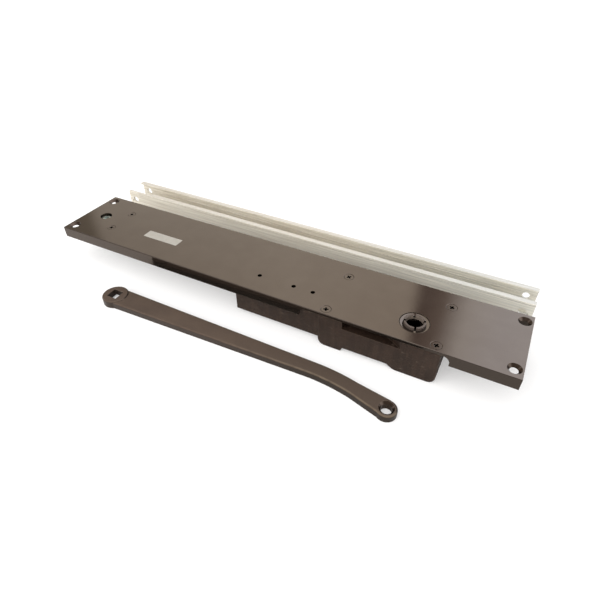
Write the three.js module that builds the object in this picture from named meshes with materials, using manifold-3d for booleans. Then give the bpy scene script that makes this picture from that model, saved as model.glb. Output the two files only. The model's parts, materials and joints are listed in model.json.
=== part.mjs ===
/**
 * Concealed overhead door closer, as a set: a face plate with the closer body
 * fastened under it, and lying beside it the lever arm and the slide track.
 *
 * Millimetres, +Z up. X runs along the face plate and Y towards the track.
 * The layout is worked out from the spindle's axis at X = Y = 0, with Z = 0 on
 * the surface that the set lies on. The last lines centre the set over that
 * surface.
 *
 * Inside the body a spring pushes a piston to the right. The piston's flank is
 * a rack that turns the spindle's pinion, and three valves meter the oil that
 * the piston drives round itself.
 */
import * as THREE from 'three';
import { mergeVertices } from 'three/addons/utils/BufferGeometryUtils.js';
import Module from 'manifold-3d';

const wasm = await Module();
wasm.setup();

// ---------------------------------------------------------------- clearances
const SEAT_GAP = 0.3; // between pieces that rest on each other
const RUN_GAP = 0.3; // round pieces that turn or slide in a bore
const CUT_MARGIN = 1; // how far a cutter runs past the face it cuts
const WELD_DISTANCE = 1e-4;

// ------------------------------------------------------------------- facets
const BORE_SIDES = 30;
const ROUND_SIDES = 22;
const SMALL_SIDES = 14;
const FINE_SIDES = 10;
const SEAL_SECTION_SIDES = 6;
const FLANK_STEPS = 3;
const ARC_STEPS = 5;

// --------------------------------------------------------------- face plate
const PLATE_LENGTH = 547.8;
const PLATE_WIDTH = 90.5;
const PLATE_THICKNESS = 3.2;
const PLATE_EDGE_RADIUS = 0.8;
const FLANGE_DEPTH = 13;
const FLANGE_THICKNESS = 3.2;
const SPINDLE_FROM_RIGHT_END = 103.1;
const SPINDLE_FROM_FRONT = 28.6;
const CUTOUT_PAST_BODY = 8.1;
const CUTOUT_LEFT_OF_SPINDLE = 112.2;
const CUTOUT_CORNER_RADIUS = 6.7;
const SPINDLE_OPENING_RADIUS = 15;
const CORNER_HOLE_RADIUS = 3.9;
const CORNER_SINK_RADIUS = 6.7;
const CORNER_INSET_X = 8.2;
const CORNER_INSET_Y = 11.1;
const VALVE_ACCESS_RADIUS = 2.4;
const HANGER_ACCESS_RADIUS = 7.2;
const HANGER_FROM_LEFT_END = 27.2;

// -------------------------------------------------------------- closer body
const BODY_HEIGHT = 40.5; // from the feet to the face under the plate
const BODY_LEFT = -191.7;
const BODY_RIGHT = 33.9;
const BODY_WIDTH = 74.6;
const VALVE_FACE_SETBACK = 4;
const LEFT_BLOCK_FROM = -90.2;
const LEFT_BLOCK_TO = -64.2;
const RIGHT_BLOCK_FROM = -5.3;
const BLOCK_STEP_RUN = 2;
const BLOCK_SLOPE_RUN = 9.4;
const BLOCK_CORNER_RADIUS = 8;
const CAST_EDGE_RADIUS = 1.5;
const REAR_POCKET_RADIUS = 5;
const RECESS_DEPTH = 9.1;
const RECESS_REACH = 11.5;
const RECESS_SLANT_RUN = 19.3;
const BORE_RADIUS = 12;
const BARREL_WALL = 5.85;
const SOCKET_DEPTH = 12; // length of spring tube held in the body

// ------------------------------------------------------------------- screws
const BODY_SCREWS_LEFT = -84.9;
const BODY_SCREWS_RIGHT = 26.8;
const BODY_SCREW_INSET = 7.4; // from the body's front and rear faces
const BODY_SCREW_HEAD_RADIUS = 5.1;
const BODY_SCREW_RADIUS = 2.5;
const BODY_SCREW_LENGTH = 17;
const BRACKET_SCREW_HEAD_RADIUS = 4.5;
const BRACKET_SCREW_RADIUS = 2;
const BRACKET_SCREW_LENGTH = 9;
const HEAD_RECESS_DEPTH = 1.6;
const HEAD_RECESS_BLADE = 0.9;
const HEAD_BELOW_PLATE = 0.2;

// ------------------------------------------------------------------ gearing
const GEAR_MODULE = 1.5;
const PINION_TEETH = 12;
const PRESSURE_ANGLE = THREE.MathUtils.degToRad(25);
const ADDENDUM = 0.9 * GEAR_MODULE;
const DEDENDUM = 1.13 * GEAR_MODULE;
const TOOTH_THINNING = 0.15; // taken off each tooth at the pitch line
const BORE_BEHIND_PITCH_LINE = 7.4;
const PINION_BELOW_BORE = 8.25; // from the bore's axis down to the teeth's ends

// ------------------------------------------------------------------ spindle
const SPINDLE_RADIUS = 10.8;
const SPINDLE_PROUD = 2.4; // above the face plate
const SPINDLE_SOCKET = 12; // across the flats of the square socket
const SPINDLE_SOCKET_DEPTH = 13;
const CROWN_NOTCHES = 8;
const CROWN_NOTCH_WIDTH = 2.4;
const CROWN_NOTCH_DEPTH = 2.8;
const CROWN_PHASE = THREE.MathUtils.degToRad(117);
const TAIL_RADIUS = 6;
const LOWER_BEARING_HEIGHT = 6.8;
const BEARING_WALL = 2.4;
const THRUST_WASHER_THICKNESS = 1.5;
const UPPER_BEARING_HEIGHT = 3.6;
const SPINDLE_SEAL_HEIGHT = 2;
const CAP_SPIGOT_LENGTH = 2;
const CAP_BELOW_PLATE = 0.4;

// ------------------------------------------------------------------- piston
const PISTON_HEAD_FROM = -102.7;
const PISTON_HEAD_LENGTH = 16;
const PISTON_WAIST_RADIUS = 9.5;
const PISTON_LAND_LENGTH = 9;
const RACK_LEAD = 11.2; // rack flat left of the spindle axis
const PISTON_SEAL_WIDTH = 2.6;
const PISTON_SEAL_DEPTH = 1.6;
const SPIGOT_RADIUS = 6.6;
const SPIGOT_LENGTH = 6;
const CHECK_BALL_RADIUS = 2;
const CHECK_PASSAGE_RADIUS = 1.3;
const CHECK_CHAMBER_DEPTH = 18;
const CHECK_RETAINER_LENGTH = 2.5;

// ----------------------------------------------------- spring and its tube
const TUBE_WALL = 1.5;
const TUBE_LENGTH = 147;
const WIRE_RADIUS = 2;
const SPRING_RADIUS = 9.2; // to the middle of the wire
const SPRING_TURNS = 19;
const SPRING_END_TURNS = 1;
const SPRING_STEPS_PER_TURN = 9;
const SPRING_WIRE_SIDES = 5;
const SPRING_SEAT_THICKNESS = 3;
const SPRING_SEAT_FROM_TUBE_END = 11;
const TUBE_SEAL_WIDTH = 1.8;

// ------------------------------------------------------- power adjustment
const TUBE_CAP_FLANGE = 5.5;
const TUBE_CAP_SPIGOT = 6;
const ADJUSTER_RADIUS = 4;
const ADJUSTER_HEAD_ACROSS_FLATS = 10;
const ADJUSTER_HEAD_LENGTH = 6;
const ADJUSTER_TRAVEL = 6; // of the spring seat along the screw
const ADJUSTER_END = 2; // thread left past the seat at full travel

// ------------------------------------------------------------------- valves
const VALVES = [
  { name: 'backcheck_valve', fromLeftEnd: 19.1 },
  { name: 'sweep_valve', fromLeftEnd: 60.9 },
  { name: 'latch_valve', fromLeftEnd: 83.5 },
].map(({ name, fromLeftEnd }) => ({ name, x: BODY_LEFT + fromLeftEnd }));
const VALVE_Y = -3.2;
const VALVE_RADIUS = 2.9;
const VALVE_LENGTH = 20;
const VALVE_BELOW_FACE = 3;
const VALVE_TIP_LENGTH = 4;
const VALVE_TIP_RADIUS = 0.9;
const VALVE_SLOT_WIDTH = 0.9;
const VALVE_SLOT_DEPTH = 1.2;
const VALVE_SEAL_WIDTH = 1.5;
const VALVE_SEAL_DEPTH = 0.8;
const VALVE_SEAL_BELOW_TOP = 5;
const PORT_RADIUS = 1.3;

// ----------------------------------------------------------------- end plug
const END_PLUG_LENGTH = 6.8;
const END_PLUG_RECESS = 0.4;
const END_PLUG_PIN_RADIUS = 1.6;
const END_PLUG_PIN_SPREAD = 6;
const END_PLUG_SEAL_WIDTH = 1.6;
const END_PLUG_SEAL_DEPTH = 1.5;

// ----------------------------------------------------------- hanger bracket
const HANGER_THICKNESS = 2.5;
const HANGER_WIDTH = 46;
const HANGER_DROP = 2;
const HANGER_TONGUE_LENGTH = 30;
const HANGER_JOGGLE = 5;
const HANGER_FOOT_LENGTH = 16;
const BRACKET_SCREWS_FROM_LEFT_END = 54;
const BRACKET_SCREW_SPREAD = 36.6;
const HANGER_SCREW_RADIUS = 3;
const HANGER_SCREW_HEAD_RADIUS = 5.4;
const HANGER_SCREW_HEAD_HEIGHT = 2.6;
const HANGER_SCREW_LENGTH = 15;
const HANGER_NUT_ACROSS_FLATS = 10;
const HANGER_NUT_HEIGHT = 5;

// ---------------------------------------------------------------- lever arm
const ARM_BOSS_X = -328.6;
const ARM_BOSS_Y = -71.4;
const ARM_YAW = THREE.MathUtils.degToRad(0.8);
const ARM_KNEE = 273.4; // boss centre to the bend
const ARM_TOE = 60.8; // bend to the eye's centre
const ARM_BEND = THREE.MathUtils.degToRad(-13.4);
const ARM_BEND_REACH = 25; // how far the bend's curve runs each way
const ARM_THICKNESS = 8.4;
const ARM_BOSS_THICKNESS = 9.6;
const ARM_BOSS_RADIUS = 14.8;
const ARM_EYE_RADIUS = 10.2;
const ARM_ROOT_HALF_WIDTH = 12.9;
const ARM_KNEE_HALF_WIDTH = 7.5;
const ARM_EDGE_RADIUS = 1.4;
const ARM_SQUARE = 13;
const ARM_EYE_HOLE_RADIUS = 5.5;
const ARM_EYE_CHAMFER = 2;

// -------------------------------------------------------------- slide track
const TRACK_LENGTH = 556.6;
const TRACK_WIDTH = 31.3;
const TRACK_HEIGHT = 37.1;
const TRACK_WALL = 2.2;
const TRACK_LIP = 6.2;
const TRACK_LIP_THICKNESS = 1.8;
const TRACK_RIB = 0.8;
const TRACK_RIB_HEIGHTS = [13, 27];
const TRACK_BEHIND_PLATE = 31; // from the plate's rear edge to the track
const TRACK_SHIFT_X = -4.5; // of its middle from the plate's middle
const TRACK_SKEW = THREE.MathUtils.degToRad(-0.5);
const TRACK_ENTRY = 39; // front lip cut away for the slide block
const TRACK_CORNER_RADIUS = 3;
const TRACK_HOLE_RADIUS = 4;
const TRACK_HOLE_FROM_END = 10.8;
const TRACK_HOLE_BELOW_TOP = 12;
const TRACK_PILOT_RADIUS = 1.6;
const TRACK_PILOT_FROM_END = 5.4;
const TRACK_PILOT_BELOW_HOLE = 2.4;

// ------------------------------------------------- levels and places in X, Y
const PLATE_UNDERSIDE = BODY_HEIGHT + SEAT_GAP;
const PLATE_TOP = PLATE_UNDERSIDE + PLATE_THICKNESS;
const PLATE_RIGHT = SPINDLE_FROM_RIGHT_END;
const PLATE_LEFT = PLATE_RIGHT - PLATE_LENGTH;
const PLATE_FRONT = -SPINDLE_FROM_FRONT;
const PLATE_REAR = PLATE_FRONT + PLATE_WIDTH;
const PLATE_MIDDLE_Y = PLATE_FRONT + PLATE_WIDTH / 2;
const BODY_FRONT = PLATE_FRONT + SEAT_GAP;
const BODY_REAR = BODY_FRONT + BODY_WIDTH;
const BARREL_RADIUS = BORE_RADIUS + BARREL_WALL;
const BORE_Z = BODY_HEIGHT - BARREL_RADIUS;
const BODY_FLOOR = BORE_Z - BARREL_RADIUS; // the barrel's underside, above the feet
const PITCH_RADIUS = (GEAR_MODULE * PINION_TEETH) / 2;
const BORE_OFFSET = PITCH_RADIUS + BORE_BEHIND_PITCH_LINE;
const PINION_TIP_RADIUS = PITCH_RADIUS + ADDENDUM;
const PINION_CAVITY_RADIUS = PINION_TIP_RADIUS + 2 * RUN_GAP;
const PISTON_RADIUS = BORE_RADIUS - RUN_GAP;
const PINION_FROM = BORE_Z - PINION_BELOW_BORE;
const THRUST_WASHER_FOOT = PINION_FROM - SEAT_GAP - THRUST_WASHER_THICKNESS;
const CAVITY_FLOOR = THRUST_WASHER_FOOT - SEAT_GAP;
const LOWER_BEARING_TOP = CAVITY_FLOOR - SEAT_GAP;
const LOWER_BEARING_FOOT = LOWER_BEARING_TOP - LOWER_BEARING_HEIGHT;
const BEARING_BORE_FLOOR = LOWER_BEARING_FOOT - SEAT_GAP;
const CAP_FOOT = PLATE_UNDERSIDE - CAP_SPIGOT_LENGTH;
const SPINDLE_SEAL_FOOT = CAP_FOOT - SEAT_GAP - SPINDLE_SEAL_HEIGHT;
const UPPER_BEARING_FOOT = SPINDLE_SEAL_FOOT - SEAT_GAP - UPPER_BEARING_HEIGHT;
const UPPER_LEDGE = UPPER_BEARING_FOOT - SEAT_GAP;
const PINION_TO = UPPER_LEDGE - SEAT_GAP;
const TOP_BORE_RADIUS = SPINDLE_RADIUS + 2 * RUN_GAP + BEARING_WALL;
const TUBE_RADIUS = BORE_RADIUS + TUBE_WALL;
const TUBE_RIGHT = BODY_LEFT + SOCKET_DEPTH;
const TUBE_LEFT = TUBE_RIGHT - TUBE_LENGTH;
const SOCKET_END = TUBE_RIGHT + TUBE_SEAL_WIDTH + 2 * SEAT_GAP;
const SPRING_SEAT_LEFT = TUBE_LEFT + SPRING_SEAT_FROM_TUBE_END;
const SPRING_SEAT_RIGHT = SPRING_SEAT_LEFT + SPRING_SEAT_THICKNESS;
const BRACKET_SCREW_X = PLATE_LEFT + BRACKET_SCREWS_FROM_LEFT_END;
const HANGER_X = PLATE_LEFT + HANGER_FROM_LEFT_END;
const HANGER_TOP = PLATE_UNDERSIDE - SEAT_GAP;
const TONGUE_TOP = HANGER_TOP - HANGER_DROP;
const TONGUE_UNDERSIDE = TONGUE_TOP - HANGER_THICKNESS;

// ------------------------------------------------------------------- looks
const BRONZE_PAINT = { color: 0x54483f, roughness: 0.22, metalness: 0.35 };
const CAST_IRON = { color: 0x3a332f, roughness: 0.6, metalness: 0.4 };
const FORGED_PAINT = { color: 0x4a4039, roughness: 0.45, metalness: 0.35 };
const GROUND_STEEL = { color: 0xa7a39e, roughness: 0.3, metalness: 1 };
const DARK_STEEL = { color: 0x5b5550, roughness: 0.4, metalness: 1 };
const SPRING_STEEL = { color: 0x6d6c6e, roughness: 0.38, metalness: 1 };
const ZINC = { color: 0xb9bdb6, roughness: 0.42, metalness: 0.9 };
const BRASS = { color: 0xb69a55, roughness: 0.32, metalness: 1 };
const RUBBER = { color: 0x1b1b1c, roughness: 0.85, metalness: 0 };
const ALUMINIUM = { color: 0xc9c4b6, roughness: 0.42, metalness: 0.85 };

// =================================================================== solids
const AXIS_X = new THREE.Vector3(1, 0, 0);
const AXIS_Y = new THREE.Vector3(0, 1, 0);
const AXIS_Z = new THREE.Vector3(0, 0, 1);

/** Six times the signed volume that the faces enclose. */
function signedVolume(corners, faces) {
  const [a, b, c] = [new THREE.Vector3(), new THREE.Vector3(), new THREE.Vector3()];
  let total = 0;
  for (let i = 0; i < faces.length; i += 3) {
    a.fromBufferAttribute(corners, faces[i]);
    b.fromBufferAttribute(corners, faces[i + 1]);
    c.fromBufferAttribute(corners, faces[i + 2]);
    total += a.dot(b.cross(c));
  }
  return total;
}

/** A closed geometry as a solid that can be joined and cut, its faces turned outwards. */
function solidFrom(geometry) {
  geometry.deleteAttribute('normal');
  geometry.deleteAttribute('uv');
  const welded = mergeVertices(geometry, WELD_DISTANCE);
  const corners = welded.getAttribute('position');
  const index = welded.getIndex();
  const faces = [];
  for (let i = 0; i < index.count; i += 3) {
    const [a, b, c] = [index.getX(i), index.getX(i + 1), index.getX(i + 2)];
    if (a !== b && b !== c && c !== a) {
      faces.push(a, b, c);
    }
  }
  if (signedVolume(corners, faces) < 0) {
    faces.reverse();
  }
  const vertProperties = new Float32Array(corners.array);
  const triVerts = new Uint32Array(faces);
  return new wasm.Manifold(new wasm.Mesh({ numProp: 3, vertProperties, triVerts }));
}

/** All the solids of a list joined into one. */
function joined(solids) {
  return solids.reduce((sum, next) => sum.add(next));
}

/** A solid with each cutter of a list taken out. */
function cut(blank, cutters) {
  return cutters.reduce((rest, cutter) => rest.subtract(cutter), blank);
}

/**
 * An outline made solid from one level to another along an axis. It is drawn in
 * (x, y) across Z, in (y, z) across X and in (x, z) across Y. A round of `edge`
 * is taken off its rims where that is given.
 */
function prism(outline, axis, from, to, edge = 0) {
  const geometry = new THREE.ExtrudeGeometry(outline, {
    depth: to - from - 2 * edge,
    bevelEnabled: edge > 0,
    bevelThickness: edge,
    bevelSize: edge,
    bevelOffset: -edge,
    bevelSegments: 2,
    curveSegments: ARC_STEPS,
  });
  const frame = new THREE.Matrix4();
  if (axis === 'x') {
    frame.makeBasis(AXIS_Y, AXIS_Z, AXIS_X).setPosition(from + edge, 0, 0);
  } else if (axis === 'y') {
    frame.makeBasis(AXIS_X, AXIS_Z, AXIS_Y.clone().negate()).setPosition(0, to - edge, 0);
  } else {
    frame.setPosition(0, 0, from + edge);
  }
  return solidFrom(geometry.applyMatrix4(frame));
}

/** A piece turned from [radius, level] pairs about the X or Z line through `centre`. */
function turned(profile, axis, centre, sides = ROUND_SIDES) {
  const points = profile.map(([radius, level]) => new THREE.Vector2(radius, level));
  const geometry = new THREE.LatheGeometry(points, sides);
  const frame = new THREE.Matrix4();
  if (axis === 'x') {
    frame.makeBasis(AXIS_Y, AXIS_X, AXIS_Z.clone().negate()).setPosition(0, centre.y, centre.z);
  } else {
    frame.makeBasis(AXIS_X, AXIS_Z, AXIS_Y.clone().negate()).setPosition(centre.x, centre.y, 0);
  }
  return solidFrom(geometry.applyMatrix4(frame));
}

/** A round bar along X or Z. */
function bar(radius, axis, centre, from, to, sides) {
  return turned([[0, from], [radius, from], [radius, to], [0, to]], axis, centre, sides);
}

/** A round bar along Y, through the given x and z. */
function crossBar(radius, x, z, from, to, sides = SMALL_SIDES) {
  const geometry = new THREE.CylinderGeometry(radius, radius, to - from, sides);
  return solidFrom(geometry.translate(x, (from + to) / 2, z));
}

/** A plain ring along X or Z. */
function ring(inner, outer, axis, centre, from, to, sides) {
  const profile = [[inner, from], [outer, from], [outer, to], [inner, to], [inner, from]];
  return turned(profile, axis, centre, sides);
}

/** A round-section seal ring whose section fills the given radii and levels. */
function sealRing(inner, outer, axis, centre, from, to, sides = ROUND_SIDES) {
  const radius = (inner + outer) / 2;
  const level = (from + to) / 2;
  const profile = [];
  for (let side = 0; side < SEAL_SECTION_SIDES; side += 1) {
    const turn = (side / SEAL_SECTION_SIDES) * 2 * Math.PI;
    profile.push([
      radius + ((outer - inner) / 2) * Math.cos(turn),
      level + ((to - from) / 2) * Math.sin(turn),
    ]);
  }
  return turned([...profile, profile[0]], axis, centre, sides);
}

/** A rectangular block between two opposite corners. */
function block([x0, x1], [y0, y1], [z0, z1]) {
  const geometry = new THREE.BoxGeometry(x1 - x0, y1 - y0, z1 - z0);
  geometry.translate((x0 + x1) / 2, (y0 + y1) / 2, (z0 + z1) / 2);
  return solidFrom(geometry);
}

/** A square block on a Z axis, turned by `angle` about it. */
function squareBar(size, x, y, angle, from, to) {
  const geometry = new THREE.BoxGeometry(size, size, to - from);
  geometry.rotateZ(angle);
  return solidFrom(geometry.translate(x, y, (from + to) / 2));
}

/** A closed outline through straight corners. */
function polygon(corners) {
  return new THREE.Shape(corners.map(([a, b]) => new THREE.Vector2(a, b)));
}

/** A regular hexagon with the given width across its flats, as an outline. */
function hexagon(acrossFlats, a, b) {
  const radius = acrossFlats / Math.sqrt(3);
  const corners = [];
  for (let side = 0; side < 6; side += 1) {
    const turn = (side * Math.PI) / 3;
    corners.push([a + radius * Math.cos(turn), b + radius * Math.sin(turn)]);
  }
  return polygon(corners);
}

/** One named sub-part of the model. */
function part(name, solid, look) {
  const shape = solid.getMesh();
  const geometry = new THREE.BufferGeometry();
  geometry.setAttribute('position', new THREE.BufferAttribute(shape.vertProperties, 3));
  geometry.setIndex(new THREE.BufferAttribute(shape.triVerts, 1));
  geometry.computeVertexNormals();
  const mesh = new THREE.Mesh(geometry, new THREE.MeshStandardMaterial({ ...look, flatShading: true }));
  mesh.name = name;
  return mesh;
}

const SPINDLE_AXIS = new THREE.Vector3(0, 0, 0);
const BORE_AXIS = new THREE.Vector3(0, BORE_OFFSET, BORE_Z);

// ============================================================== face plate
/** The tray's section in (y, z): a web with a flange turned down at each edge. */
function traySection() {
  const round = PLATE_EDGE_RADIUS;
  const rim = PLATE_TOP - FLANGE_DEPTH;
  const section = new THREE.Shape();
  section.moveTo(PLATE_FRONT, rim);
  section.lineTo(PLATE_FRONT + FLANGE_THICKNESS, rim);
  section.lineTo(PLATE_FRONT + FLANGE_THICKNESS, PLATE_UNDERSIDE);
  section.lineTo(PLATE_REAR - FLANGE_THICKNESS, PLATE_UNDERSIDE);
  section.lineTo(PLATE_REAR - FLANGE_THICKNESS, rim);
  section.lineTo(PLATE_REAR, rim);
  section.absarc(PLATE_REAR - round, PLATE_TOP - round, round, 0, Math.PI / 2, false);
  section.absarc(PLATE_FRONT + round, PLATE_TOP - round, round, Math.PI / 2, Math.PI, false);
  return section;
}

/** The front flange's cut-out for the body, in (x, z), with rounded upper corners. */
function cutoutOutline() {
  const left = -CUTOUT_LEFT_OF_SPINDLE;
  const right = BODY_RIGHT + CUTOUT_PAST_BODY;
  const round = CUTOUT_CORNER_RADIUS;
  const below = PLATE_TOP - FLANGE_DEPTH - CUT_MARGIN;
  const outline = new THREE.Shape();
  outline.moveTo(left, below);
  outline.lineTo(right, below);
  outline.absarc(right - round, PLATE_UNDERSIDE - round, round, 0, Math.PI / 2, false);
  outline.absarc(left + round, PLATE_UNDERSIDE - round, round, Math.PI / 2, Math.PI, false);
  return outline;
}

/** A countersunk hole down through the plate. */
function countersink(x, y, sinkRadius, holeRadius, sides = SMALL_SIDES) {
  const profile = [
    [0, PLATE_UNDERSIDE - CUT_MARGIN],
    [holeRadius, PLATE_UNDERSIDE - CUT_MARGIN],
    [holeRadius, PLATE_TOP - (sinkRadius - holeRadius)],
    [sinkRadius + CUT_MARGIN, PLATE_TOP + CUT_MARGIN],
    [0, PLATE_TOP + CUT_MARGIN],
  ];
  return turned(profile, 'z', new THREE.Vector3(x, y, 0), sides);
}

/** A straight hole down through the plate. */
function plateHole(x, y, radius, sides = SMALL_SIDES) {
  const centre = new THREE.Vector3(x, y, 0);
  return bar(radius, 'z', centre, PLATE_UNDERSIDE - CUT_MARGIN, PLATE_TOP + CUT_MARGIN, sides);
}

/** The four screws that hold the plate to the body, by name and place. */
function bodyScrewPlaces() {
  const front = BODY_FRONT + BODY_SCREW_INSET;
  const rear = BODY_REAR - BODY_SCREW_INSET;
  return [
    { name: 'body_screw_front_left', x: BODY_SCREWS_LEFT, y: front },
    { name: 'body_screw_rear_left', x: BODY_SCREWS_LEFT, y: rear },
    { name: 'body_screw_front_right', x: BODY_SCREWS_RIGHT, y: front },
    { name: 'body_screw_rear_right', x: BODY_SCREWS_RIGHT, y: rear },
  ];
}

/** The two screws that hold the hanger bracket, by name and place. */
function bracketScrewPlaces() {
  const reach = BRACKET_SCREW_SPREAD / 2;
  return [
    { name: 'bracket_screw_front', x: BRACKET_SCREW_X, y: PLATE_MIDDLE_Y - reach },
    { name: 'bracket_screw_rear', x: BRACKET_SCREW_X, y: PLATE_MIDDLE_Y + reach },
  ];
}

/** Every hole in the plate's web, as cutters. */
function plateHoles() {
  const holes = [];
  for (const x of [PLATE_LEFT + CORNER_INSET_X, PLATE_RIGHT - CORNER_INSET_X]) {
    for (const y of [PLATE_FRONT + CORNER_INSET_Y, PLATE_REAR - CORNER_INSET_Y]) {
      holes.push(countersink(x, y, CORNER_SINK_RADIUS, CORNER_HOLE_RADIUS, ROUND_SIDES));
    }
  }
  for (const { x, y } of bodyScrewPlaces()) {
    holes.push(countersink(x, y, BODY_SCREW_HEAD_RADIUS + 2 * SEAT_GAP, BODY_SCREW_RADIUS + SEAT_GAP));
  }
  for (const { x, y } of bracketScrewPlaces()) {
    const sink = BRACKET_SCREW_HEAD_RADIUS + 2 * SEAT_GAP;
    holes.push(countersink(x, y, sink, BRACKET_SCREW_RADIUS + SEAT_GAP));
  }
  for (const { x } of VALVES) {
    holes.push(plateHole(x, VALVE_Y, VALVE_ACCESS_RADIUS, FINE_SIDES));
  }
  holes.push(plateHole(HANGER_X, PLATE_MIDDLE_Y, HANGER_ACCESS_RADIUS, ROUND_SIDES));
  holes.push(plateHole(0, 0, SPINDLE_OPENING_RADIUS, BORE_SIDES));
  return holes;
}

function facePlate() {
  const tray = prism(traySection(), 'x', PLATE_LEFT, PLATE_RIGHT);
  const flangeInside = PLATE_FRONT + FLANGE_THICKNESS;
  const cutout = prism(cutoutOutline(), 'y', PLATE_FRONT - CUT_MARGIN, flangeInside + CUT_MARGIN);
  return cut(tray, [cutout, ...plateHoles()]);
}

// ============================================================= closer body
/** The long casting's section in (y, z): a flat valve side with a round barrel behind. */
function barrelSection() {
  const front = BODY_FRONT + VALVE_FACE_SETBACK;
  const round = 2 * CAST_EDGE_RADIUS;
  const section = new THREE.Shape();
  section.moveTo(front, BODY_HEIGHT);
  section.lineTo(front, BODY_FLOOR + round);
  section.absarc(front + round, BODY_FLOOR + round, round, Math.PI, 1.5 * Math.PI, false);
  section.absarc(BORE_OFFSET, BORE_Z, BARREL_RADIUS, -Math.PI / 2, Math.PI / 2, false);
  return section;
}

/** The mounting blocks and the wall between them, seen from the front in (x, z). */
function blockOutline() {
  const round = BLOCK_CORNER_RADIUS;
  const slopeFrom = RIGHT_BLOCK_FROM - BLOCK_SLOPE_RUN;
  const outline = new THREE.Shape();
  outline.moveTo(LEFT_BLOCK_FROM, BODY_HEIGHT);
  outline.lineTo(LEFT_BLOCK_FROM, round);
  outline.absarc(LEFT_BLOCK_FROM + round, round, round, Math.PI, 1.5 * Math.PI, false);
  outline.lineTo(LEFT_BLOCK_TO, 0);
  outline.lineTo(LEFT_BLOCK_TO + BLOCK_STEP_RUN, BODY_FLOOR);
  outline.lineTo(slopeFrom, BODY_FLOOR);
  outline.quadraticCurveTo(slopeFrom + BLOCK_SLOPE_RUN / 2, BODY_FLOOR / 6, RIGHT_BLOCK_FROM, 0);
  outline.absarc(BODY_RIGHT - round, round, round, 1.5 * Math.PI, 2 * Math.PI, false);
  outline.lineTo(BODY_RIGHT, BODY_HEIGHT);
  return outline;
}

/** The space behind the barrel between the two blocks, in (x, y). */
function rearPocket() {
  const round = REAR_POCKET_RADIUS;
  const left = LEFT_BLOCK_TO + BLOCK_STEP_RUN;
  const right = RIGHT_BLOCK_FROM - BLOCK_SLOPE_RUN;
  const outline = new THREE.Shape();
  outline.moveTo(right, BODY_REAR + CUT_MARGIN);
  outline.lineTo(left, BODY_REAR + CUT_MARGIN);
  outline.absarc(left + round, BORE_OFFSET + round, round, Math.PI, 1.5 * Math.PI, false);
  outline.absarc(right - round, BORE_OFFSET + round, round, 1.5 * Math.PI, 2 * Math.PI, false);
  return prism(outline, 'z', -CUT_MARGIN, BODY_HEIGHT + CUT_MARGIN);
}

/** The cast recess at the top of the front wall, its right end slanting back. */
function frontRecess() {
  const slant = RECESS_SLANT_RUN / RECESS_REACH;
  const back = BODY_FRONT + RECESS_REACH;
  const right = RIGHT_BLOCK_FROM + BLOCK_STEP_RUN;
  const outline = polygon([
    [LEFT_BLOCK_TO, BODY_FRONT - CUT_MARGIN],
    [right + CUT_MARGIN * slant, BODY_FRONT - CUT_MARGIN],
    [right - RECESS_SLANT_RUN, back],
    [LEFT_BLOCK_TO, back],
  ]);
  return prism(outline, 'z', BODY_HEIGHT - RECESS_DEPTH, BODY_HEIGHT + CUT_MARGIN);
}

/** The spindle's stepped bore: lower bearing, pinion cavity, upper bearing and cap. */
function spindleBore() {
  const lower = TAIL_RADIUS + 2 * RUN_GAP + BEARING_WALL;
  const profile = [
    [0, BEARING_BORE_FLOOR],
    [lower, BEARING_BORE_FLOOR],
    [lower, CAVITY_FLOOR],
    [PINION_CAVITY_RADIUS, CAVITY_FLOOR],
    [PINION_CAVITY_RADIUS, UPPER_LEDGE],
    [TOP_BORE_RADIUS, UPPER_LEDGE],
    [TOP_BORE_RADIUS, BODY_HEIGHT + CUT_MARGIN],
    [0, BODY_HEIGHT + CUT_MARGIN],
  ];
  return turned(profile, 'z', SPINDLE_AXIS, BORE_SIDES);
}

/** A valve's hole from the top face, with the port that joins it to the bore. */
function valveBore(x) {
  const centre = new THREE.Vector3(x, VALVE_Y, 0);
  const tip = BODY_HEIGHT - VALVE_BELOW_FACE - VALVE_LENGTH - SEAT_GAP;
  const hole = bar(VALVE_RADIUS + RUN_GAP, 'z', centre, tip, BODY_HEIGHT + CUT_MARGIN, SMALL_SIDES);
  return hole.add(crossBar(PORT_RADIUS, x, BORE_Z, VALVE_Y, BORE_OFFSET, FINE_SIDES));
}

function closerBody() {
  const barrel = prism(barrelSection(), 'x', BODY_LEFT, BODY_RIGHT);
  const blocks = prism(blockOutline(), 'y', BODY_FRONT, BODY_REAR, CAST_EDGE_RADIUS);
  const casting = cut(blocks, [rearPocket()]).add(trimmedBarrel(barrel));
  const bore = bar(BORE_RADIUS, 'x', BORE_AXIS, BODY_LEFT - CUT_MARGIN, BODY_RIGHT + CUT_MARGIN, BORE_SIDES);
  const tubeRadius = TUBE_RADIUS + RUN_GAP;
  const tubeSocket = bar(tubeRadius, 'x', BORE_AXIS, BODY_LEFT - CUT_MARGIN, SOCKET_END, BORE_SIDES);
  const screwFloor = PLATE_TOP - BODY_SCREW_LENGTH - CUT_MARGIN;
  const screwHoles = bodyScrewPlaces().map(({ x, y }) => {
    const centre = new THREE.Vector3(x, y, 0);
    const radius = BODY_SCREW_RADIUS + SEAT_GAP;
    return bar(radius, 'z', centre, screwFloor, BODY_HEIGHT + CUT_MARGIN, SMALL_SIDES);
  });
  const valveHoles = VALVES.map(({ x }) => valveBore(x));
  return cut(casting, [frontRecess(), bore, tubeSocket, spindleBore(), ...screwHoles, ...valveHoles]);
}

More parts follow.
